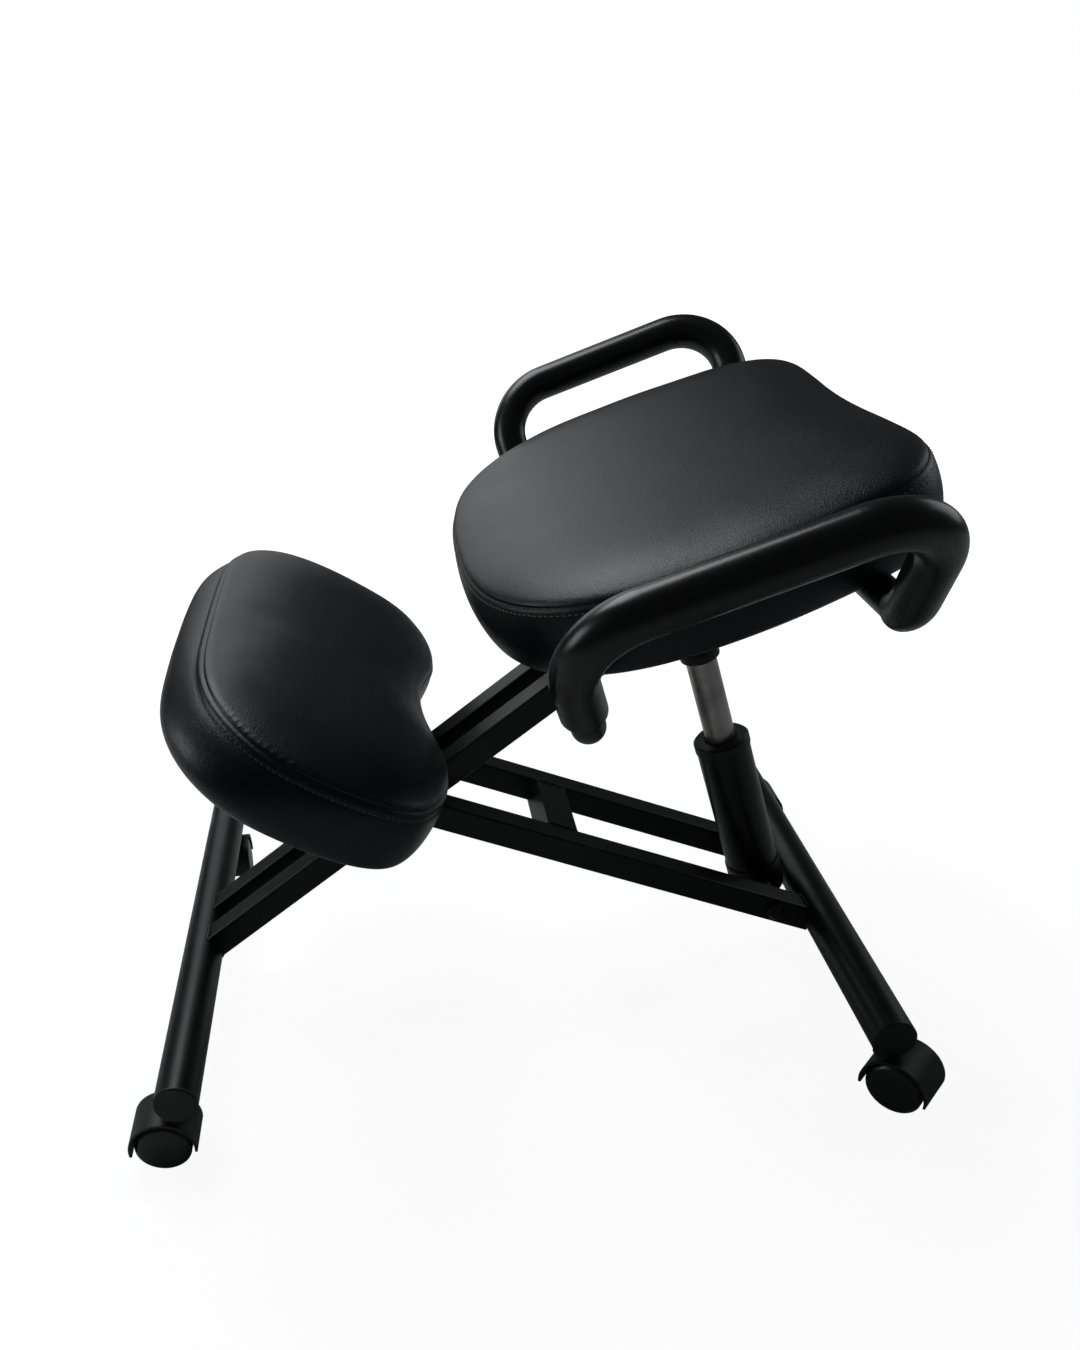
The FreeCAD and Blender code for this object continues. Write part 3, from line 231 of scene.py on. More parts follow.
def mirrored(half_outline):
    """A whole outline from its right half."""
    return half_outline + [(-x, y) for x, y in reversed(half_outline)]


# Frames of the seat and the knee rest, and their outlines in millimetres in those frames

SEAT_FRAME = Matrix.Translation((0.0, 0.0, 0.4572)) @ Matrix.Rotation(math.radians(16.46), 4, "X")
KNEE_FRAME = (Matrix.Translation((0.0, -0.145, 0.3553))
              @ Matrix.Rotation(math.radians(-32.4), 4, "X"))
UPPER_FRAME = (Matrix.Translation((0.0, -0.0776, 0.2294))
               @ Matrix.Rotation(math.radians(35.28), 4, "X"))
LOWER_FRAME = (Matrix.Translation((0.0, -0.0776, 0.2294))
               @ Matrix.Rotation(math.radians(-23.53), 4, "X"))

SEAT_OUTLINE = mirrored([
    (30.0, -30.5), (88.0, -26.5), (140.0, -15.5), (184.0, 7.5), (214.0, 39.5),
    (232.0, 79.5), (238.0, 127.5), (236.0, 181.5), (226.0, 233.5), (214.0, 278.0),
    (188.0, 306.0), (148.0, 319.0), (90.0, 317.0), (28.0, 312.5),
])
KNEE_OUTLINE = mirrored([
    (40.0, -113.0), (118.0, -111.5), (165.0, -101.0), (201.0, -78.0), (225.0, -45.0),
    (231.0, -2.0), (227.0, 46.0), (209.0, 84.0), (172.0, 104.0), (136.0, 112.0),
    (98.0, 112.0), (66.0, 103.0), (26.0, 92.5),
])
BOXING = 60.0


# Materials

class Nodes:
    """A material's node tree, built up a node at a time."""

    def __init__(self, name):
        self.material = bpy.data.materials.new(name)
        self.material.use_nodes = True
        self.tree = self.material.node_tree
        self.tree.nodes.clear()
        self.output = self.tree.nodes.new("ShaderNodeOutputMaterial")
        self.shader = self.tree.nodes.new("ShaderNodeBsdfPrincipled")
        self.tree.links.new(self.shader.outputs[0], self.output.inputs[0])
        self.place = self.tree.nodes.new("ShaderNodeTexCoord").outputs["Object"]

    def link(self, source, target):
        self.tree.links.new(source, target)

    def mapped(self, scale, turn=(0.0, 0.0, 0.0)):
        node = self.tree.nodes.new("ShaderNodeMapping")
        node.inputs["Scale"].default_value = scale
        node.inputs["Rotation"].default_value = turn
        self.link(self.place, node.inputs["Vector"])
        return node.outputs[0]

    def noise(self, scale, detail=2.0, rough=0.5, place=None):
        node = self.tree.nodes.new("ShaderNodeTexNoise")
        node.inputs["Scale"].default_value = scale
        node.inputs["Detail"].default_value = detail
        node.inputs["Roughness"].default_value = rough
        self.link(place or self.place, node.inputs["Vector"])
        return node.outputs["Fac"]

    def cells(self, scale, feature="F1", place=None):
        node = self.tree.nodes.new("ShaderNodeTexVoronoi")
        node.feature = feature
        node.inputs["Scale"].default_value = scale
        self.link(place or self.place, node.inputs["Vector"])
        return node.outputs["Distance"]

    def spread(self, value, low, high, out_low=0.0, out_high=1.0):
        node = self.tree.nodes.new("ShaderNodeMapRange")
        node.inputs["From Min"].default_value = low
        node.inputs["From Max"].default_value = high
        node.inputs["To Min"].default_value = out_low
        node.inputs["To Max"].default_value = out_high
        self.link(value, node.inputs["Value"])
        return node.outputs[0]

    def sum(self, first, second, first_share=1.0, second_share=1.0):
        scaled = self.tree.nodes.new("ShaderNodeMath")
        scaled.operation = "MULTIPLY"
        self.link(second, scaled.inputs[0])
        scaled.inputs[1].default_value = second_share
        both = self.tree.nodes.new("ShaderNodeMath")
        both.operation = "MULTIPLY_ADD"
        self.link(first, both.inputs[0])
        both.inputs[1].default_value = first_share
        self.link(scaled.outputs[0], both.inputs[2])
        return both.outputs[0]

    def blend(self, share, first, second):
        node = self.tree.nodes.new("ShaderNodeMix")
        node.data_type = "RGBA"
        self.link(share, node.inputs["Factor"])
        node.inputs["A"].default_value = (*first, 1.0)
        node.inputs["B"].default_value = (*second, 1.0)
        return node.outputs["Result"]

    def colour(self, source):
        self.link(source, self.shader.inputs["Base Color"])

    def roughness(self, source):
        self.link(source, self.shader.inputs["Roughness"])

    def bump(self, height, strength, distance):
        node = self.tree.nodes.new("ShaderNodeBump")
        node.inputs["Strength"].default_value = strength
        node.inputs["Distance"].default_value = distance
        self.link(height, node.inputs["Height"])
        self.link(node.outputs[0], self.shader.inputs["Normal"])

    def constant(self, name, value):
        self.shader.inputs[name].default_value = value


def lighter(colour, factor):
    return tuple(min(1.0, c * factor) for c in colour)


def leather_material(colour):
    """Smooth leather-look cover: fine pebble grain, faint creases, soft blue-grey sheen."""
    n = Nodes("seat_leather_cover")
    cloudy = n.spread(n.noise(14.0, 3.0), 0.3, 0.7)
    n.colour(n.blend(cloudy, lighter(colour, 0.82), lighter(colour, 1.22)))
    pebble = n.cells(1150.0, "SMOOTH_F1")
    wide = n.cells(420.0, "DISTANCE_TO_EDGE", n.mapped((1.0, 1.35, 1.0)))
    grain = n.sum(n.spread(pebble, 0.0, 0.7), n.spread(wide, 0.0, 0.12), 0.55, 0.45)
    soft = n.sum(grain, n.noise(46.0, 2.0), 1.0, 0.5)
    n.bump(soft, 0.34, 0.00042)
    n.roughness(n.spread(n.sum(n.noise(9.0, 2.0), n.noise(240.0, 1.0), 0.7, 0.3),
                         0.3, 0.7, 0.29, 0.38))
    n.constant("Specular IOR Level", 0.38)
    n.constant("Specular Tint", (0.90, 0.96, 1.0, 1.0))
    return n.material


def thread_material(colour):
    n = Nodes("topstitch_thread")
    twist = n.noise(2400.0, 1.0, 0.5, n.mapped((1.0, 1.0, 3.0)))
    n.colour(n.blend(n.spread(twist, 0.35, 0.65), lighter(colour, 0.6), lighter(colour, 1.3)))
    n.bump(twist, 0.4, 0.0002)
    n.constant("Roughness", 0.7)
    return n.material


def underside_material():
    """Black non-woven dust cover under the cushions."""
    n = Nodes("black_dust_cover")
    fibres = n.noise(900.0, 4.0, 0.7)
    dots = n.cells(520.0)
    n.colour(n.blend(n.spread(fibres, 0.35, 0.7), (0.003, 0.003, 0.003), (0.010, 0.010, 0.0105)))
    n.bump(n.sum(fibres, dots, 0.7, 0.3), 0.5, 0.0005)
    n.constant("Roughness", 0.93)
    n.constant("Specular IOR Level", 0.2)
    return n.material


def paint_material(name, colour, rough=0.36):
    """Satin powder paint: fine orange peel, faint dust and rubbed patches."""
    n = Nodes(name)
    dust = n.spread(n.noise(22.0, 5.0, 0.6), 0.52, 0.78)
    n.colour(n.blend(dust, colour, lighter(colour, 2.0)))
    peel = n.sum(n.noise(620.0, 2.0), n.noise(2100.0, 1.0), 0.7, 0.3)
    n.bump(peel, 0.16, 0.0003)
    n.roughness(n.spread(n.noise(30.0, 4.0), 0.3, 0.75, rough - 0.05, rough + 0.10))
    n.constant("Specular IOR Level", 0.36)
    return n.material


def plastic_material(name, colour, rough, grain=1400.0):
    """Moulded plastic with a fine spark-eroded grain and light scuffs."""
    n = Nodes(name)
    streaks = n.noise(60.0, 4.0, 0.65, n.mapped((1.0, 6.0, 1.0), (0.3, 0.2, 0.9)))
    n.colour(n.blend(n.spread(streaks, 0.56, 0.72), colour, lighter(colour, 2.2)))
    n.bump(n.noise(grain, 2.0), 0.12, 0.0003)
    n.roughness(n.spread(n.noise(48.0, 3.0), 0.3, 0.7, rough - 0.06, rough + 0.08))
    return n.material


def foam_material():
    """Smooth-skinned handle foam, with faint pores and long soft ripples."""
    n = Nodes("grip_foam")
    pores = n.cells(1500.0)
    cloudy = n.spread(n.noise(18.0, 3.0), 0.3, 0.7)
    n.colour(n.blend(cloudy, (0.0024, 0.0025, 0.0027), (0.0038, 0.0039, 0.0042)))
    n.bump(n.sum(pores, n.noise(90.0, 2.0), 0.5, 0.5), 0.02, 0.0002)
    n.roughness(n.spread(n.noise(34.0, 3.0), 0.3, 0.7, 0.25, 0.30))
    return n.material


def brushed_material(name, colour, turn, rough=0.28):
    """Drawn bright steel with fine lines round the bar and light oil stains."""
    n = Nodes(name)
    lines = n.noise(90.0, 4.0, 0.6, n.mapped((1.0, 1.0, 22.0), turn))
    stains = n.spread(n.noise(40.0, 3.0), 0.45, 0.75)
    n.colour(n.blend(stains, colour, lighter(colour, 0.62)))
    n.bump(lines, 0.10, 0.0002)
    n.roughness(n.spread(lines, 0.3, 0.7, rough - 0.07, rough + 0.10))
    n.constant("Metallic", 1.0)
    return n.material


def timber_material():
    """Board edge: thin plies seen under black stain."""
    n = Nodes("stained_board")
    plies = n.noise(30.0, 2.0, 0.5, n.mapped((1.0, 1.0, 18.0)))
    n.colour(n.blend(n.spread(plies, 0.4, 0.6), (0.012, 0.010, 0.008), (0.035, 0.027, 0.019)))
    n.bump(plies, 0.3, 0.0006)
    n.constant("Roughness", 0.82)
    return n.material


# Upholstery

def front_share(outline):
    """How far each point of an outline faces the front, from 0 at the rear to 1."""
    shares = []
    count = len(outline)
    for index in range(count):
        along = (outline[(index + 1) % count] - outline[index - 1]).normalized()
        share = min(1.0, max(0.0, (along.x + 0.25) / 1.1))
        shares.append(share * share * (3.0 - 2.0 * share))
    return shares


def cushion_rings(outline, profile, place, flare=0.0):
    """Rings of points through a profile of (level, inset, draw, flare) rows, plus both poles."""
    rings = []
    shares = front_share(outline)
    middle = sum((p.y for p in outline)) / len(outline)
    low = Vector((0.0, middle, profile[0][0])) * MM
    rings.append([place @ low] * len(outline))
    for row in profile:
        level, inset, draw = row[:3]
        reach = flare * row[3] if len(row) > 3 else 0.0
        insets = [inset - reach * share for share in shares]
        ring = draw_ring(inset_ring(outline, insets), draw)
        rings.append([place @ (Vector((p.x, p.y, level)) * MM) for p in ring])
    top = Vector((0.0, middle, profile[-1][0] + 0.15)) * MM
    rings.append([place @ top] * len(outline))
    return rings


def puff(piece, place, cap, pinned_levels):
    """Let the cover swell under its filling, held at the seam and the board."""
    rest = [vertex.co.copy() for vertex in piece.data.vertices]
    inverse = place.inverted()
    group = piece.vertex_groups.new(name="held")
    for vertex in piece.data.vertices:
        level = (inverse @ vertex.co).z / MM
        held = any(low <= level <= high for low, high in pinned_levels)
        group.add([vertex.index], 1.0 if held else 0.0, "REPLACE")
    make_active(piece)
    cloth = piece.modifiers.new("Cloth", "CLOTH")
    cloth.settings.quality = 6
    cloth.settings.mass = 0.35
    cloth.settings.tension_stiffness = 18
    cloth.settings.compression_stiffness = 18
    cloth.settings.bending_stiffness = 4
    cloth.settings.vertex_group_mass = "held"
    cloth.settings.use_pressure = True
    cloth.settings.uniform_pressure_force = 4.0
    cloth.settings.effector_weights.gravity = 0.0
    cloth.collision_settings.use_collision = False
    scene = bpy.context.scene
    for step in range(1, CLOTH_STEPS + 1):
        scene.frame_set(step)
    bpy.ops.object.modifier_apply(modifier=cloth.name)
    scene.frame_set(1)
    moves = []
    for vertex, start in zip(piece.data.vertices, rest):
        move = vertex.co - start
        moves.append(move * min(1.0, cap / max(move.length, 1e-9)))
    beside = [[] for _ in rest]
    for edge in piece.data.edges:
        first, second = edge.vertices
        beside[first].append(second)
        beside[second].append(first)
    for _ in range(CALM_PASSES):
        moves = [
            move * 0.5 + sum((moves[other] for other in near), Vector()) * (0.5 / len(near))
            for move, near in zip(moves, beside)
        ]
    for vertex, start, move in zip(piece.data.vertices, rest, moves):
        vertex.co = start + move
    piece.vertex_groups.clear()


def stitch_loop(name, points, normals, pitch):
    """A row of short thread stitches lying along a closed or open line of points."""
    total = 0.0
    lengths = [0.0]
    for index in range(len(points) - 1):
        total += (points[index + 1] - points[index]).length
        lengths.append(total)
    count = int(total / pitch)
    deselect_all()
    bpy.ops.mesh.primitive_uv_sphere_add(segments=6, ring_count=5, radius=1.0)
    template = bpy.context.object
    shape = [vertex.co.copy() for vertex in template.data.vertices]
    faces = [tuple(face.vertices) for face in template.data.polygons]
    bpy.data.objects.remove(template, do_unlink=True)
    vertices = []
    polygons = []
    cursor = 0
    for number in range(count):
        wanted = (number + 0.5) * pitch
        while cursor < len(lengths) - 2 and lengths[cursor + 1] < wanted:
            cursor += 1
        gap = lengths[cursor + 1] - lengths[cursor]
        share = (wanted - lengths[cursor]) / gap
        here = points[cursor].lerp(points[cursor + 1], share)
        up = normals[cursor].lerp(normals[cursor + 1], share).normalized()
        along = (points[cursor + 1] - points[cursor]).normalized()
        side = along.cross(up).normalized()
        along = (along * math.cos(STITCH_LEAN) + side * math.sin(STITCH_LEAN)).normalized()
        side = along.cross(up).normalized()
        base = len(vertices)
        for point in shape:
            stretched = (along * (point.x * pitch * 0.40) + side * (point.y * STITCH_RADIUS)
                         + up * (point.z * STITCH_RADIUS * 0.8))
            sag = up * (-0.35 * STITCH_RADIUS * point.x * point.x)
            vertices.append(here + up * STITCH_LIFT + stretched + sag)
        polygons.extend(tuple(base + i for i in face) for face in faces)
    mesh = bpy.data.meshes.new(name)
    mesh.from_pydata([tuple(v) for v in vertices], [], polygons)
    piece = bpy.data.objects.new(name, mesh)
    bpy.context.collection.objects.link(piece)
    make_active(piece)
    bpy.ops.object.shade_smooth()
    return piece


def surface_line(outline, level, inset, place):
    """A closed line at one level of a cushion, inset from its outline."""
    ring = inset_ring(outline, [inset] * len(outline))
    return [place @ (Vector((p.x, p.y, level)) * MM) for p in ring + ring[:1]]


def nearest_on(piece, points):
    """The same line laid on a piece's surface, with the surface's normals."""
    laid = []
    normals = []
    depsgraph = bpy.context.evaluated_depsgraph_get()
    evaluated = piece.evaluated_get(depsgraph)
    for point in points:
        _hit, where, normal, _face = evaluated.closest_point_on_mesh(point)
        laid.append(where.copy())
        normals.append(normal.copy())
    return laid, normals


def assign_underside(piece, place, cover, under):
    """Cover material all over, and dust cloth on the flat underside."""
    piece.data.materials.clear()
    piece.data.materials.append(cover)
    piece.data.materials.append(under)
    inverse = place.inverted().to_3x3()
    to_local = place.inverted()
    for face in piece.data.polygons:
        normal = inverse @ face.normal
        level = (to_local @ face.center).z / MM
        if normal.z < -0.9 and level < -BOXING + 1.5:
            face.material_index = 1


class CHAIR_OT_seat_cushion(bpy.types.Operator):
    """Make the seat cushion: crowned top panel, pinched seam and full boxing"""
    bl_idname = "chair.seat_cushion"
    bl_label = "Seat cushion"

    def execute(self, context):
        settings = context.scene.chair_cover
        crown = settings.seat_crown / MM
        outline = smooth_outline(SEAT_OUTLINE, settings.curve_steps)
        profile = [
            (-BOXING - 0.4, 60.0, 60.0), (-BOXING - 0.4, 30.0, 0.0), (-BOXING - 0.6, 14.0, 0.0),
            (-BOXING + 0.2, 9.0, 0.0), (-BOXING + 2.6, 4.6, 0.0), (-BOXING + 7.0, 1.8, 0.0),
            (-46.0, -0.6, 0.0), (-38.0, -2.2, 0.0), (-30.0, -3.0, 0.0), (-22.0, -3.0, 0.0),
            (-15.0, -2.3, 0.0), (-9.0, -1.2, 0.0), (-5.0, -0.1, 0.0), (-2.6, 0.7, 0.0),
            (-1.3, 1.9, 0.0), (-0.7, 3.4, 0.0), (0.5, 2.9, 0.0), (1.7, 2.5, 0.0),
            (3.6, 3.1, 0.3), (5.9, 4.8, 0.9), (8.0, 7.1, 2.6), (9.7, 8.0, 6.4),
            (11.0, 8.0, 12.5), (11.9, 8.0, 21.0), (12.6, 8.0, 32.0), (13.1, 8.0, 45.0),
            (13.4, 8.0, 60.0), (crown + 1.1, 8.0, 78.0), (crown + 1.2, 8.0, 98.0),
            (crown + 1.3, 8.0, 120.0), (crown + 1.3, 8.0, 140.0),
        ]
        piece = wrapped_tube("seat_cushion_cover", cushion_rings(outline, profile, SEAT_FRAME))
        puff(piece, SEAT_FRAME, 0.0026, [BOARD_LEVELS, SEAT_SEAM_LEVELS])
        subdivide(piece)
        ripple_boxing(piece, SEAT_FRAME, 0.0006, 11.0)
        assign_underside(piece, SEAT_FRAME, finish("leather"), finish("underside"))
        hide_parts("seat_cushion")
        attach(piece, "seat_frame")
        line = surface_line(outline, -5.2, -0.2, SEAT_FRAME)
        laid, normals = nearest_on(piece, line)
        row = stitch_loop("seat_topstitch", laid, normals, settings.stitch_pitch)
        row.data.materials.append(finish("thread"))
        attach(row, "seat_frame")
        return {"FINISHED"}


def ripple_boxing(piece, place, height, scale):
    """Faint slack in the side panels, fading out at the seam and the board."""
    inverse = place.inverted()
    normals = [vertex.normal.copy() for vertex in piece.data.vertices]
    for vertex, normal in zip(piece.data.vertices, normals):
        local = inverse @ vertex.co
        level = local.z / MM
        if -56.0 < level < -5.0:
            fade = math.sin((level + 56.0) / 51.0 * math.pi)
            wave = noise.noise(Vector((local.x * scale, local.y * scale, local.z * scale * 3.0)))
            vertex.co += normal * (wave * height * fade)


class CHAIR_OT_knee_cushion(bpy.types.Operator):
    """Make the knee rest: crowned top, a turned band along the seam and gathered puckers"""
    bl_idname = "chair.knee_cushion"
    bl_label = "Knee rest"

    def execute(self, context):
        settings = context.scene.chair_cover
        crown = settings.knee_crown / MM
        outline = smooth_outline(KNEE_OUTLINE, settings.curve_steps)
        profile = [
            (-BOXING - 0.4, 45.0, 40.0), (-BOXING - 0.4, 26.0, 0.0), (-BOXING - 0.6, 12.0, 0.0),
            (-BOXING - 0.3, 6.0, 0.0, 0.10), (-59.2, 2.6, 0.0, 0.35), (-56.5, 0.2, 0.0, 0.60),
            (-52.0, -1.6, 0.0, 0.85), (-46.0, -2.8, 0.0, 1.0), (-39.0, -3.6, 0.0, 1.0),
            (-31.0, -4.0, 0.0, 0.86), (-24.0, -3.9, 0.0, 0.62), (-17.0, -3.3, 0.0, 0.36),
            (-12.0, -2.6, 0.0, 0.14), (-9.2, -1.8, 0.0), (-7.9, -0.9, 0.0), (-6.9, -1.3, 0.0),
            (-5.0, -1.2, 0.0), (-3.2, -0.6, 0.0), (-1.8, 0.6, 0.0), (-0.9, 2.6, 0.0),
            (0.2, 2.5, 0.0), (1.5, 2.1, 0.0),
            (3.4, 3.5, 0.4), (5.4, 6.0, 1.4), (7.2, 8.0, 4.4), (9.0, 8.0, 10.0),
            (10.6, 8.0, 18.0), (11.8, 8.0, 28.0), (12.7, 8.0, 39.0), (crown, 8.0, 52.0),
            (crown + 0.3, 8.0, 66.0), (crown + 0.4, 8.0, 80.0),
        ]
        rings = cushion_rings(outline, profile, KNEE_FRAME, KNEE_FLARE)
        piece = wrapped_tube("knee_cushion_cover", rings)
        puff(piece, KNEE_FRAME, 0.0022, [BOARD_LEVELS, KNEE_SEAM_LEVELS])
        subdivide(piece)
        ripple_boxing(piece, KNEE_FRAME, 0.0009, 13.0)
        pucker(piece, KNEE_FRAME)
        assign_underside(piece, KNEE_FRAME, finish("leather"), finish("underside"))
        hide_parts("knee_cushion")
        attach(piece, "knee_frame")
        line = surface_line(outline, -7.9, -0.9, KNEE_FRAME)
        laid, normals = nearest_on(piece, line)
        row = stitch_loop("knee_topstitch", laid, normals, settings.stitch_pitch)
        row.data.materials.append(finish("thread"))
        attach(row, "knee_frame")
        return {"FINISHED"}


def pucker(piece, place):
    """Small gathers along the seam where the band turns tightly round the user's left side."""
    inverse = place.inverted()
    normals = [vertex.normal.copy() for vertex in piece.data.vertices]
    for vertex, normal in zip(piece.data.vertices, normals):
        local = inverse @ vertex.co / MM
        if not -12.0 < local.z < 9.0 or local.x < 60.0:
            continue
        travel = local.x * 0.75 + local.y * 0.66
        gathers = BAND_GATHERS if local.z > 0.5 else BOXING_GATHERS
        middle, spread, level, width, height = gathers
        reach = max(0.0, 1.0 - abs(travel - middle) / spread)
        fade = max(0.0, 1.0 - abs(local.z - level) / width)
        wander = 1.3 * noise.noise(Vector((travel * 0.04, 0.0, 3.0)))
        wave = math.sin(travel * GATHER_RATE + wander)
        vertex.co += normal * (wave * height * fade * min(1.0, reach * 2.0))


# Welds, handles and other fittings

def bead_on(name, path, radius, seed):
    """A weld bead: an uneven rope of overlapping ripples along a path."""
    rings = []
    around = 10
    for index, point in enumerate(path):
        before = path[max(0, index - 1)]
        after = path[min(len(path) - 1, index + 1)]
        along = (after - before).normalized()
        side = along.orthogonal().normalized()
        other = along.cross(side)
        ripple = 1.0 + 0.14 * math.sin(index * 1.9) + 0.10 * noise.noise(
            Vector((index * 0.37, seed, 0.0)))
        end = min(index, len(path) - 1 - index)
        size = radius * ripple * min(1.0, 0.45 + 0.3 * end)
        rings.append([point + (side * math.cos(a) + other * math.sin(a)) * size
                      for a in (2 * math.pi * k / around for k in range(around))])
    rings.insert(0, [path[0]] * around)
    rings.append([path[-1]] * around)
    return wrapped_tube(name, rings)


def cope_path(across, level, centre_level, steps=14):
    """Where one face of a square bar meets the round floor tube.

    The face is the side at that place across the bar when level is None, or else the
    bar's upper or lower face.
    """
    points = []
    for index in range(steps + 1):
        share = index / steps
        if level is None:
            z = -BAR_HALF + 2 * BAR_HALF * share
            x = across
        else:
            z = level
            x = across - BAR_HALF + 2 * BAR_HALF * share
        reach = TUBE_RADIUS ** 2 - (z - centre_level) ** 2
        if reach <= 0:
            continue
        y = math.sqrt(reach)
        points.append((x, y, z))
    return points


class CHAIR_OT_weld_beads(bpy.types.Operator):
    """Lay weld beads where the bars meet the floor tubes and the cross tube"""
    bl_idname = "chair.weld_beads"
    bl_label = "Weld beads"

    def execute(self, context):
        # Tube, frame of its bars, their places across, the tube's axis in that frame, the side
        # it is met from, and the body it belongs to
        jobs = (
            ("front", UPPER_FRAME, (0.0267, -0.0267), (-0.27326, 0.00210), 1.0, "seat_frame"),
            ("rear", LOWER_FRAME, (0.0535, -0.0535), (0.41022, 0.00847), -1.0, "knee_frame"),
        )
        paint = finish("frame")
        for label, place, offsets, centre, sense, body in jobs:
            beads = []
            for offset in offsets:
                faces = (
                    (None, offset - BAR_HALF), (None, offset + BAR_HALF), (BAR_HALF, offset),
                    (-BAR_HALF, offset),
                )
                for level, x in faces:
                    path = cope_path(x, level, centre[1])
                    points = [place @ Vector((px, centre[0] + sense * py, pz))
                              for px, py, pz in path]
                    if len(points) > 3:
                        beads.append(bead_on("bead", points, 0.0017, offset * 90 + x * 40))
            piece = join_into(beads[0], beads[1:])
            piece.name = label + "_tube_welds"
            piece.data.name = piece.name
            piece.data.materials.append(paint)
            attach(piece, body)
        beads = []
        for x in (-0.0410, 0.0410):
            for y in (0.1235, 0.1535):
                path = [LOWER_FRAME @ Vector((x, y, -0.0120 + 0.0240 * k / 10)) for k in range(11)]
                beads.append(bead_on("bead", path, 0.0014, x * 60 + y * 30))
            path = [LOWER_FRAME @ Vector((x, 0.1240 + 0.0290 * k / 10, 0.0125)) for k in range(11)]
            beads.append(bead_on("bead", path, 0.0012, x * 50))
        piece = join_into(beads[0], beads[1:])
        piece.name = "cross_tube_welds"
        piece.data.name = piece.name
        piece.data.materials.append(paint)
        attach(piece, "knee_frame")
        return {"FINISHED"}


class CHAIR_OT_finishes(bpy.types.Operator):
    """Give every frame, lift, handle and caster part its finish"""
    bl_idname = "chair.finishes"
    bl_label = "Finishes"

    def execute(self, context):
        by_slot = {
            "tube_steel": "frame", "lift_steel": "lift", "bare_steel": "bright",
            "zinc_bolt": "bolt", "black_plastic": "plastic", "wheel_plastic": "wheel",
            "foam_grip": "foam", "plywood": "board", "seat_leather": "leather",
        }
        named = {"lift_cylinder": "rod", "handle_left": "handle", "handle_right": "handle",
                 "handle_screws": "bolt"}
        for entry in frame["record"]["subparts"]:
            node = entry["node"]
            piece = frame["nodes"][node]
            look = finish(named.get(node, by_slot[entry["material_slot"]]))
            piece.data.materials.clear()
            piece.data.materials.append(look)
        return {"FINISHED"}


# Stage: floor, camera and lights

# Soft lights: name, place, the point each looks at, width, and share of the key light's power
LAMPS = (
    ("overhead_light", (-0.95, -0.55, 2.1), (0.0, 0.05, 0.40), 1.25, 1.0),
    ("far_side_light", (-2.0, -0.5, 1.1), (0.0, 0.05, 0.40), 1.4, 0.20),
    ("front_light", (-0.2, -2.0, 1.0), (0.0, -0.1, 0.30), 0.9, 0.32),
    ("rear_light", (-0.9, 2.1, 1.1), (0.0, 0.1, 0.30), 1.2, 0.20),
)
CAMERA_PLACE = (0.99156, -0.07762, 0.77703)
CAMERA_TURNS = (0.68, 30.1, -4.69)  # yaw, pitch down and roll in degrees
CAMERA_LENS = 31.92
CAMERA_SHIFT = (0.0805, 0.0929)


FLOOR_GLOW = 1.20
FLOOR_FADE = (0.45, 1.3)  # metres from the middle between which the floor turns white
FLOOR_GLOW_SHARES = (0.78, 1.0)  # share of glow at each end of that fade
WHITE = (1.0, 1.0, 1.0, 1.0)


def floor_material(colour):
    """Matt for light, and a white glow for the camera, also through clear pieces."""
    material = bpy.data.materials.new("pale_floor")
    material.use_nodes = True
    tree = material.node_tree
    tree.nodes.clear()
    output = tree.nodes.new("ShaderNodeOutputMaterial")
    mix = tree.nodes.new("ShaderNodeMixShader")
    matt = tree.nodes.new("ShaderNodeBsdfDiffuse")
    glow = tree.nodes.new("ShaderNodeEmission")
    ray = tree.nodes.new("ShaderNodeLightPath")
    seen = tree.nodes.new("ShaderNodeMath")
    seen.operation = "MAXIMUM"
    glow_share = tree.nodes.new("ShaderNodeMath")
    glow_share.operation = "MULTIPLY"
    spot = tree.nodes.new("ShaderNodeTexCoord")
    distance = tree.nodes.new("ShaderNodeVectorMath")
    distance.operation = "LENGTH"
    whiter = tree.nodes.new("ShaderNodeMapRange")
    whiter.interpolation_type = "SMOOTHSTEP"
    whiter.inputs["From Min"].default_value = FLOOR_FADE[0]
    whiter.inputs["From Max"].default_value = FLOOR_FADE[1]
    whiter.inputs["To Min"].default_value = FLOOR_GLOW_SHARES[0]
    whiter.inputs["To Max"].default_value = FLOOR_GLOW_SHARES[1]
    tree.links.new(spot.outputs["Object"], distance.inputs[0])
    tree.links.new(distance.outputs["Value"], whiter.inputs["Value"])
    tree.links.new(whiter.outputs[0], glow_share.inputs[1])
    matt.inputs["Color"].default_value = (*colour, 1.0)
    glow.inputs["Color"].default_value = WHITE
    glow.inputs["Strength"].default_value = FLOOR_GLOW
    tree.links.new(ray.outputs["Is Camera Ray"], seen.inputs[0])
    tree.links.new(ray.outputs["Is Transmission Ray"], seen.inputs[1])
    tree.links.new(seen.outputs[0], glow_share.inputs[0])
    tree.links.new(glow_share.outputs[0], mix.inputs[0])
    tree.links.new(matt.outputs[0], mix.inputs[1])
    tree.links.new(glow.outputs[0], mix.inputs[2])
    tree.links.new(mix.outputs[0], output.inputs[0])
    return material


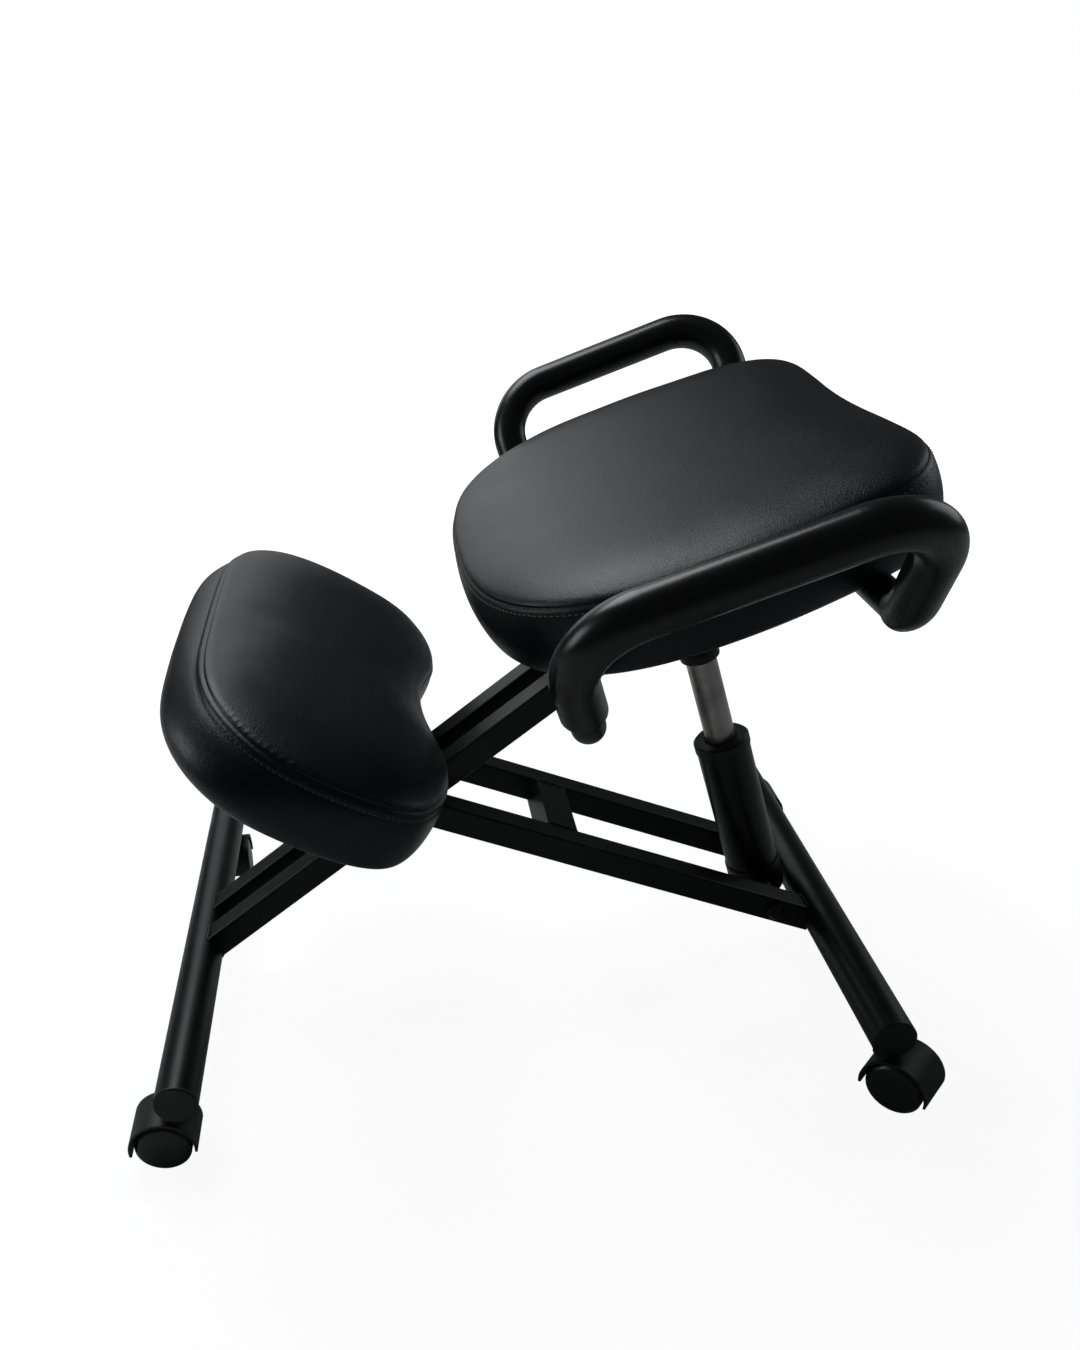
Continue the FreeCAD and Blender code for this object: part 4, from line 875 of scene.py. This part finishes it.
def room_world(level):
    """White behind everything, and even light from all round."""
    world = bpy.data.worlds.new("room")
    world.use_nodes = True
    tree = world.node_tree
    tree.nodes.clear()
    output = tree.nodes.new("ShaderNodeOutputWorld")
    backdrop = tree.nodes.new("ShaderNodeBackground")
    light = tree.nodes.new("ShaderNodeBackground")
    mix = tree.nodes.new("ShaderNodeMixShader")
    ray = tree.nodes.new("ShaderNodeLightPath")
    backdrop.inputs["Color"].default_value = WHITE
    light.inputs["Color"].default_value = (0.93, 0.96, 1.0, 1.0)
    light.inputs["Strength"].default_value = level
    tree.links.new(ray.outputs["Is Camera Ray"], mix.inputs[0])
    tree.links.new(light.outputs[0], mix.inputs[1])
    tree.links.new(backdrop.outputs[0], mix.inputs[2])
    tree.links.new(mix.outputs[0], output.inputs[0])
    return world


def add_lamps(context, key_power):
    for name, place, aim, size, share in LAMPS:
        data = bpy.data.lights.new(name, "AREA")
        data.shape = "SQUARE"
        data.size = size
        data.energy = key_power * share
        data.color = (0.96, 0.99, 1.0)
        lamp = bpy.data.objects.new(name, data)
        context.collection.objects.link(lamp)
        lamp.location = place
        lamp.rotation_euler = (Vector(aim) - Vector(place)).to_track_quat("-Z", "Y").to_euler()


def add_camera(context):
    """The camera that the photo was taken with, as fitted to the frame's edges."""
    data = bpy.data.cameras.new("photo_camera")
    data.lens = CAMERA_LENS
    data.sensor_width = 36.0
    data.sensor_fit = "AUTO"
    data.shift_x, data.shift_y = CAMERA_SHIFT
    data.clip_start = 0.02
    camera = bpy.data.objects.new("photo_camera", data)
    context.collection.objects.link(camera)
    yaw, pitch, roll = (math.radians(a) for a in CAMERA_TURNS)
    forward = Vector((-math.cos(yaw) * math.cos(pitch), math.sin(yaw) * math.cos(pitch),
                      -math.sin(pitch)))
    level = forward.cross(Vector((0.0, 0.0, 1.0))).normalized()
    upright = level.cross(forward)
    right = level * math.cos(roll) + upright * math.sin(roll)
    up = upright * math.cos(roll) - level * math.sin(roll)
    turn = Matrix((right, up, -forward)).transposed()
    camera.matrix_world = Matrix.Translation(CAMERA_PLACE) @ turn.to_4x4()
    context.scene.camera = camera


class CHAIR_OT_stage(bpy.types.Operator):
    """Set the pale floor, the soft lights and the camera"""
    bl_idname = "chair.stage"
    bl_label = "Stage"

    def execute(self, context):
        settings = context.scene.chair_stage
        deselect_all()
        bpy.ops.mesh.primitive_plane_add(size=14.0, location=(0.0, 0.0, 0.0))
        floor = context.object
        floor.name = "floor"
        floor.data.materials.append(floor_material(settings.floor_colour))
        context.scene.world = room_world(settings.sky_level)
        add_lamps(context, settings.key_power)
        add_camera(context)
        context.scene.view_settings.view_transform = "Standard"
        return {"FINISHED"}


class CHAIR_PT_panel(bpy.types.Panel):
    """The chair's sizes, colours and pieces"""
    bl_idname = "CHAIR_PT_panel"
    bl_label = "Kneeling chair"
    bl_space_type = "VIEW_3D"
    bl_region_type = "UI"
    bl_category = "Chair"

    def draw(self, context):
        layout = self.layout
        for settings in (context.scene.chair_cover, context.scene.chair_metal,
                         context.scene.chair_stage):
            box = layout.box()
            for name in settings.__annotations__:
                box.prop(settings, name)
        for operator in OPERATORS:
            layout.operator(operator.bl_idname)


OPERATORS = (
    CHAIR_OT_finishes, CHAIR_OT_seat_cushion, CHAIR_OT_knee_cushion, CHAIR_OT_weld_beads,
    CHAIR_OT_stage,
)
CLASSES = (CoverSettings, MetalSettings, StageSettings) + OPERATORS + (CHAIR_PT_panel,)


def register():
    for cls in CLASSES:
        bpy.utils.register_class(cls)
    bpy.types.Scene.chair_cover = PointerProperty(type=CoverSettings)
    bpy.types.Scene.chair_metal = PointerProperty(type=MetalSettings)
    bpy.types.Scene.chair_stage = PointerProperty(type=StageSettings)


def unregister():
    del bpy.types.Scene.chair_cover
    del bpy.types.Scene.chair_metal
    del bpy.types.Scene.chair_stage
    for cls in reversed(CLASSES):
        bpy.utils.unregister_class(cls)


FINISHES = {}


def finish(name):
    """A finish by name, made once from the scene's settings."""
    if name not in FINISHES:
        cover = bpy.context.scene.chair_cover
        metal = bpy.context.scene.chair_metal
        makers = {
            "leather": lambda: leather_material(tuple(cover.leather)),
            "thread": lambda: thread_material(tuple(cover.thread)),
            "underside": underside_material,
            "frame": lambda: paint_material("frame_paint", tuple(metal.paint)),
            "lift": lambda: paint_material("lift_paint", lighter(metal.paint, 0.7), 0.30),
            "bolt": lambda: paint_material("black_zinc", lighter(metal.paint, 1.6), 0.24),
            "plastic": lambda: plastic_material("cap_plastic", tuple(metal.plastic), 0.50),
            "wheel": lambda: plastic_material("wheel_plastic", lighter(metal.plastic, 0.9),
                                              0.34, 900.0),
            "foam": foam_material,
            "board": timber_material,
            "bright": lambda: brushed_material("bright_steel", tuple(metal.bare), (0, 0, 0)),
            "rod": lambda: brushed_material("lift_cylinder_steel", tuple(metal.bare),
                                            (math.radians(-15.18), 0, 0), 0.34),
            "handle": lambda: paint_material("handle_paint", lighter(metal.paint, 1.3), 0.28),
        }
        FINISHES[name] = makers[name]()
    return FINISHES[name]


def main():
    register()
    for operator in OPERATORS:
        group, name = operator.bl_idname.split(".")
        getattr(getattr(bpy.ops, group), name)()


if __name__ == "__main__":
    main()
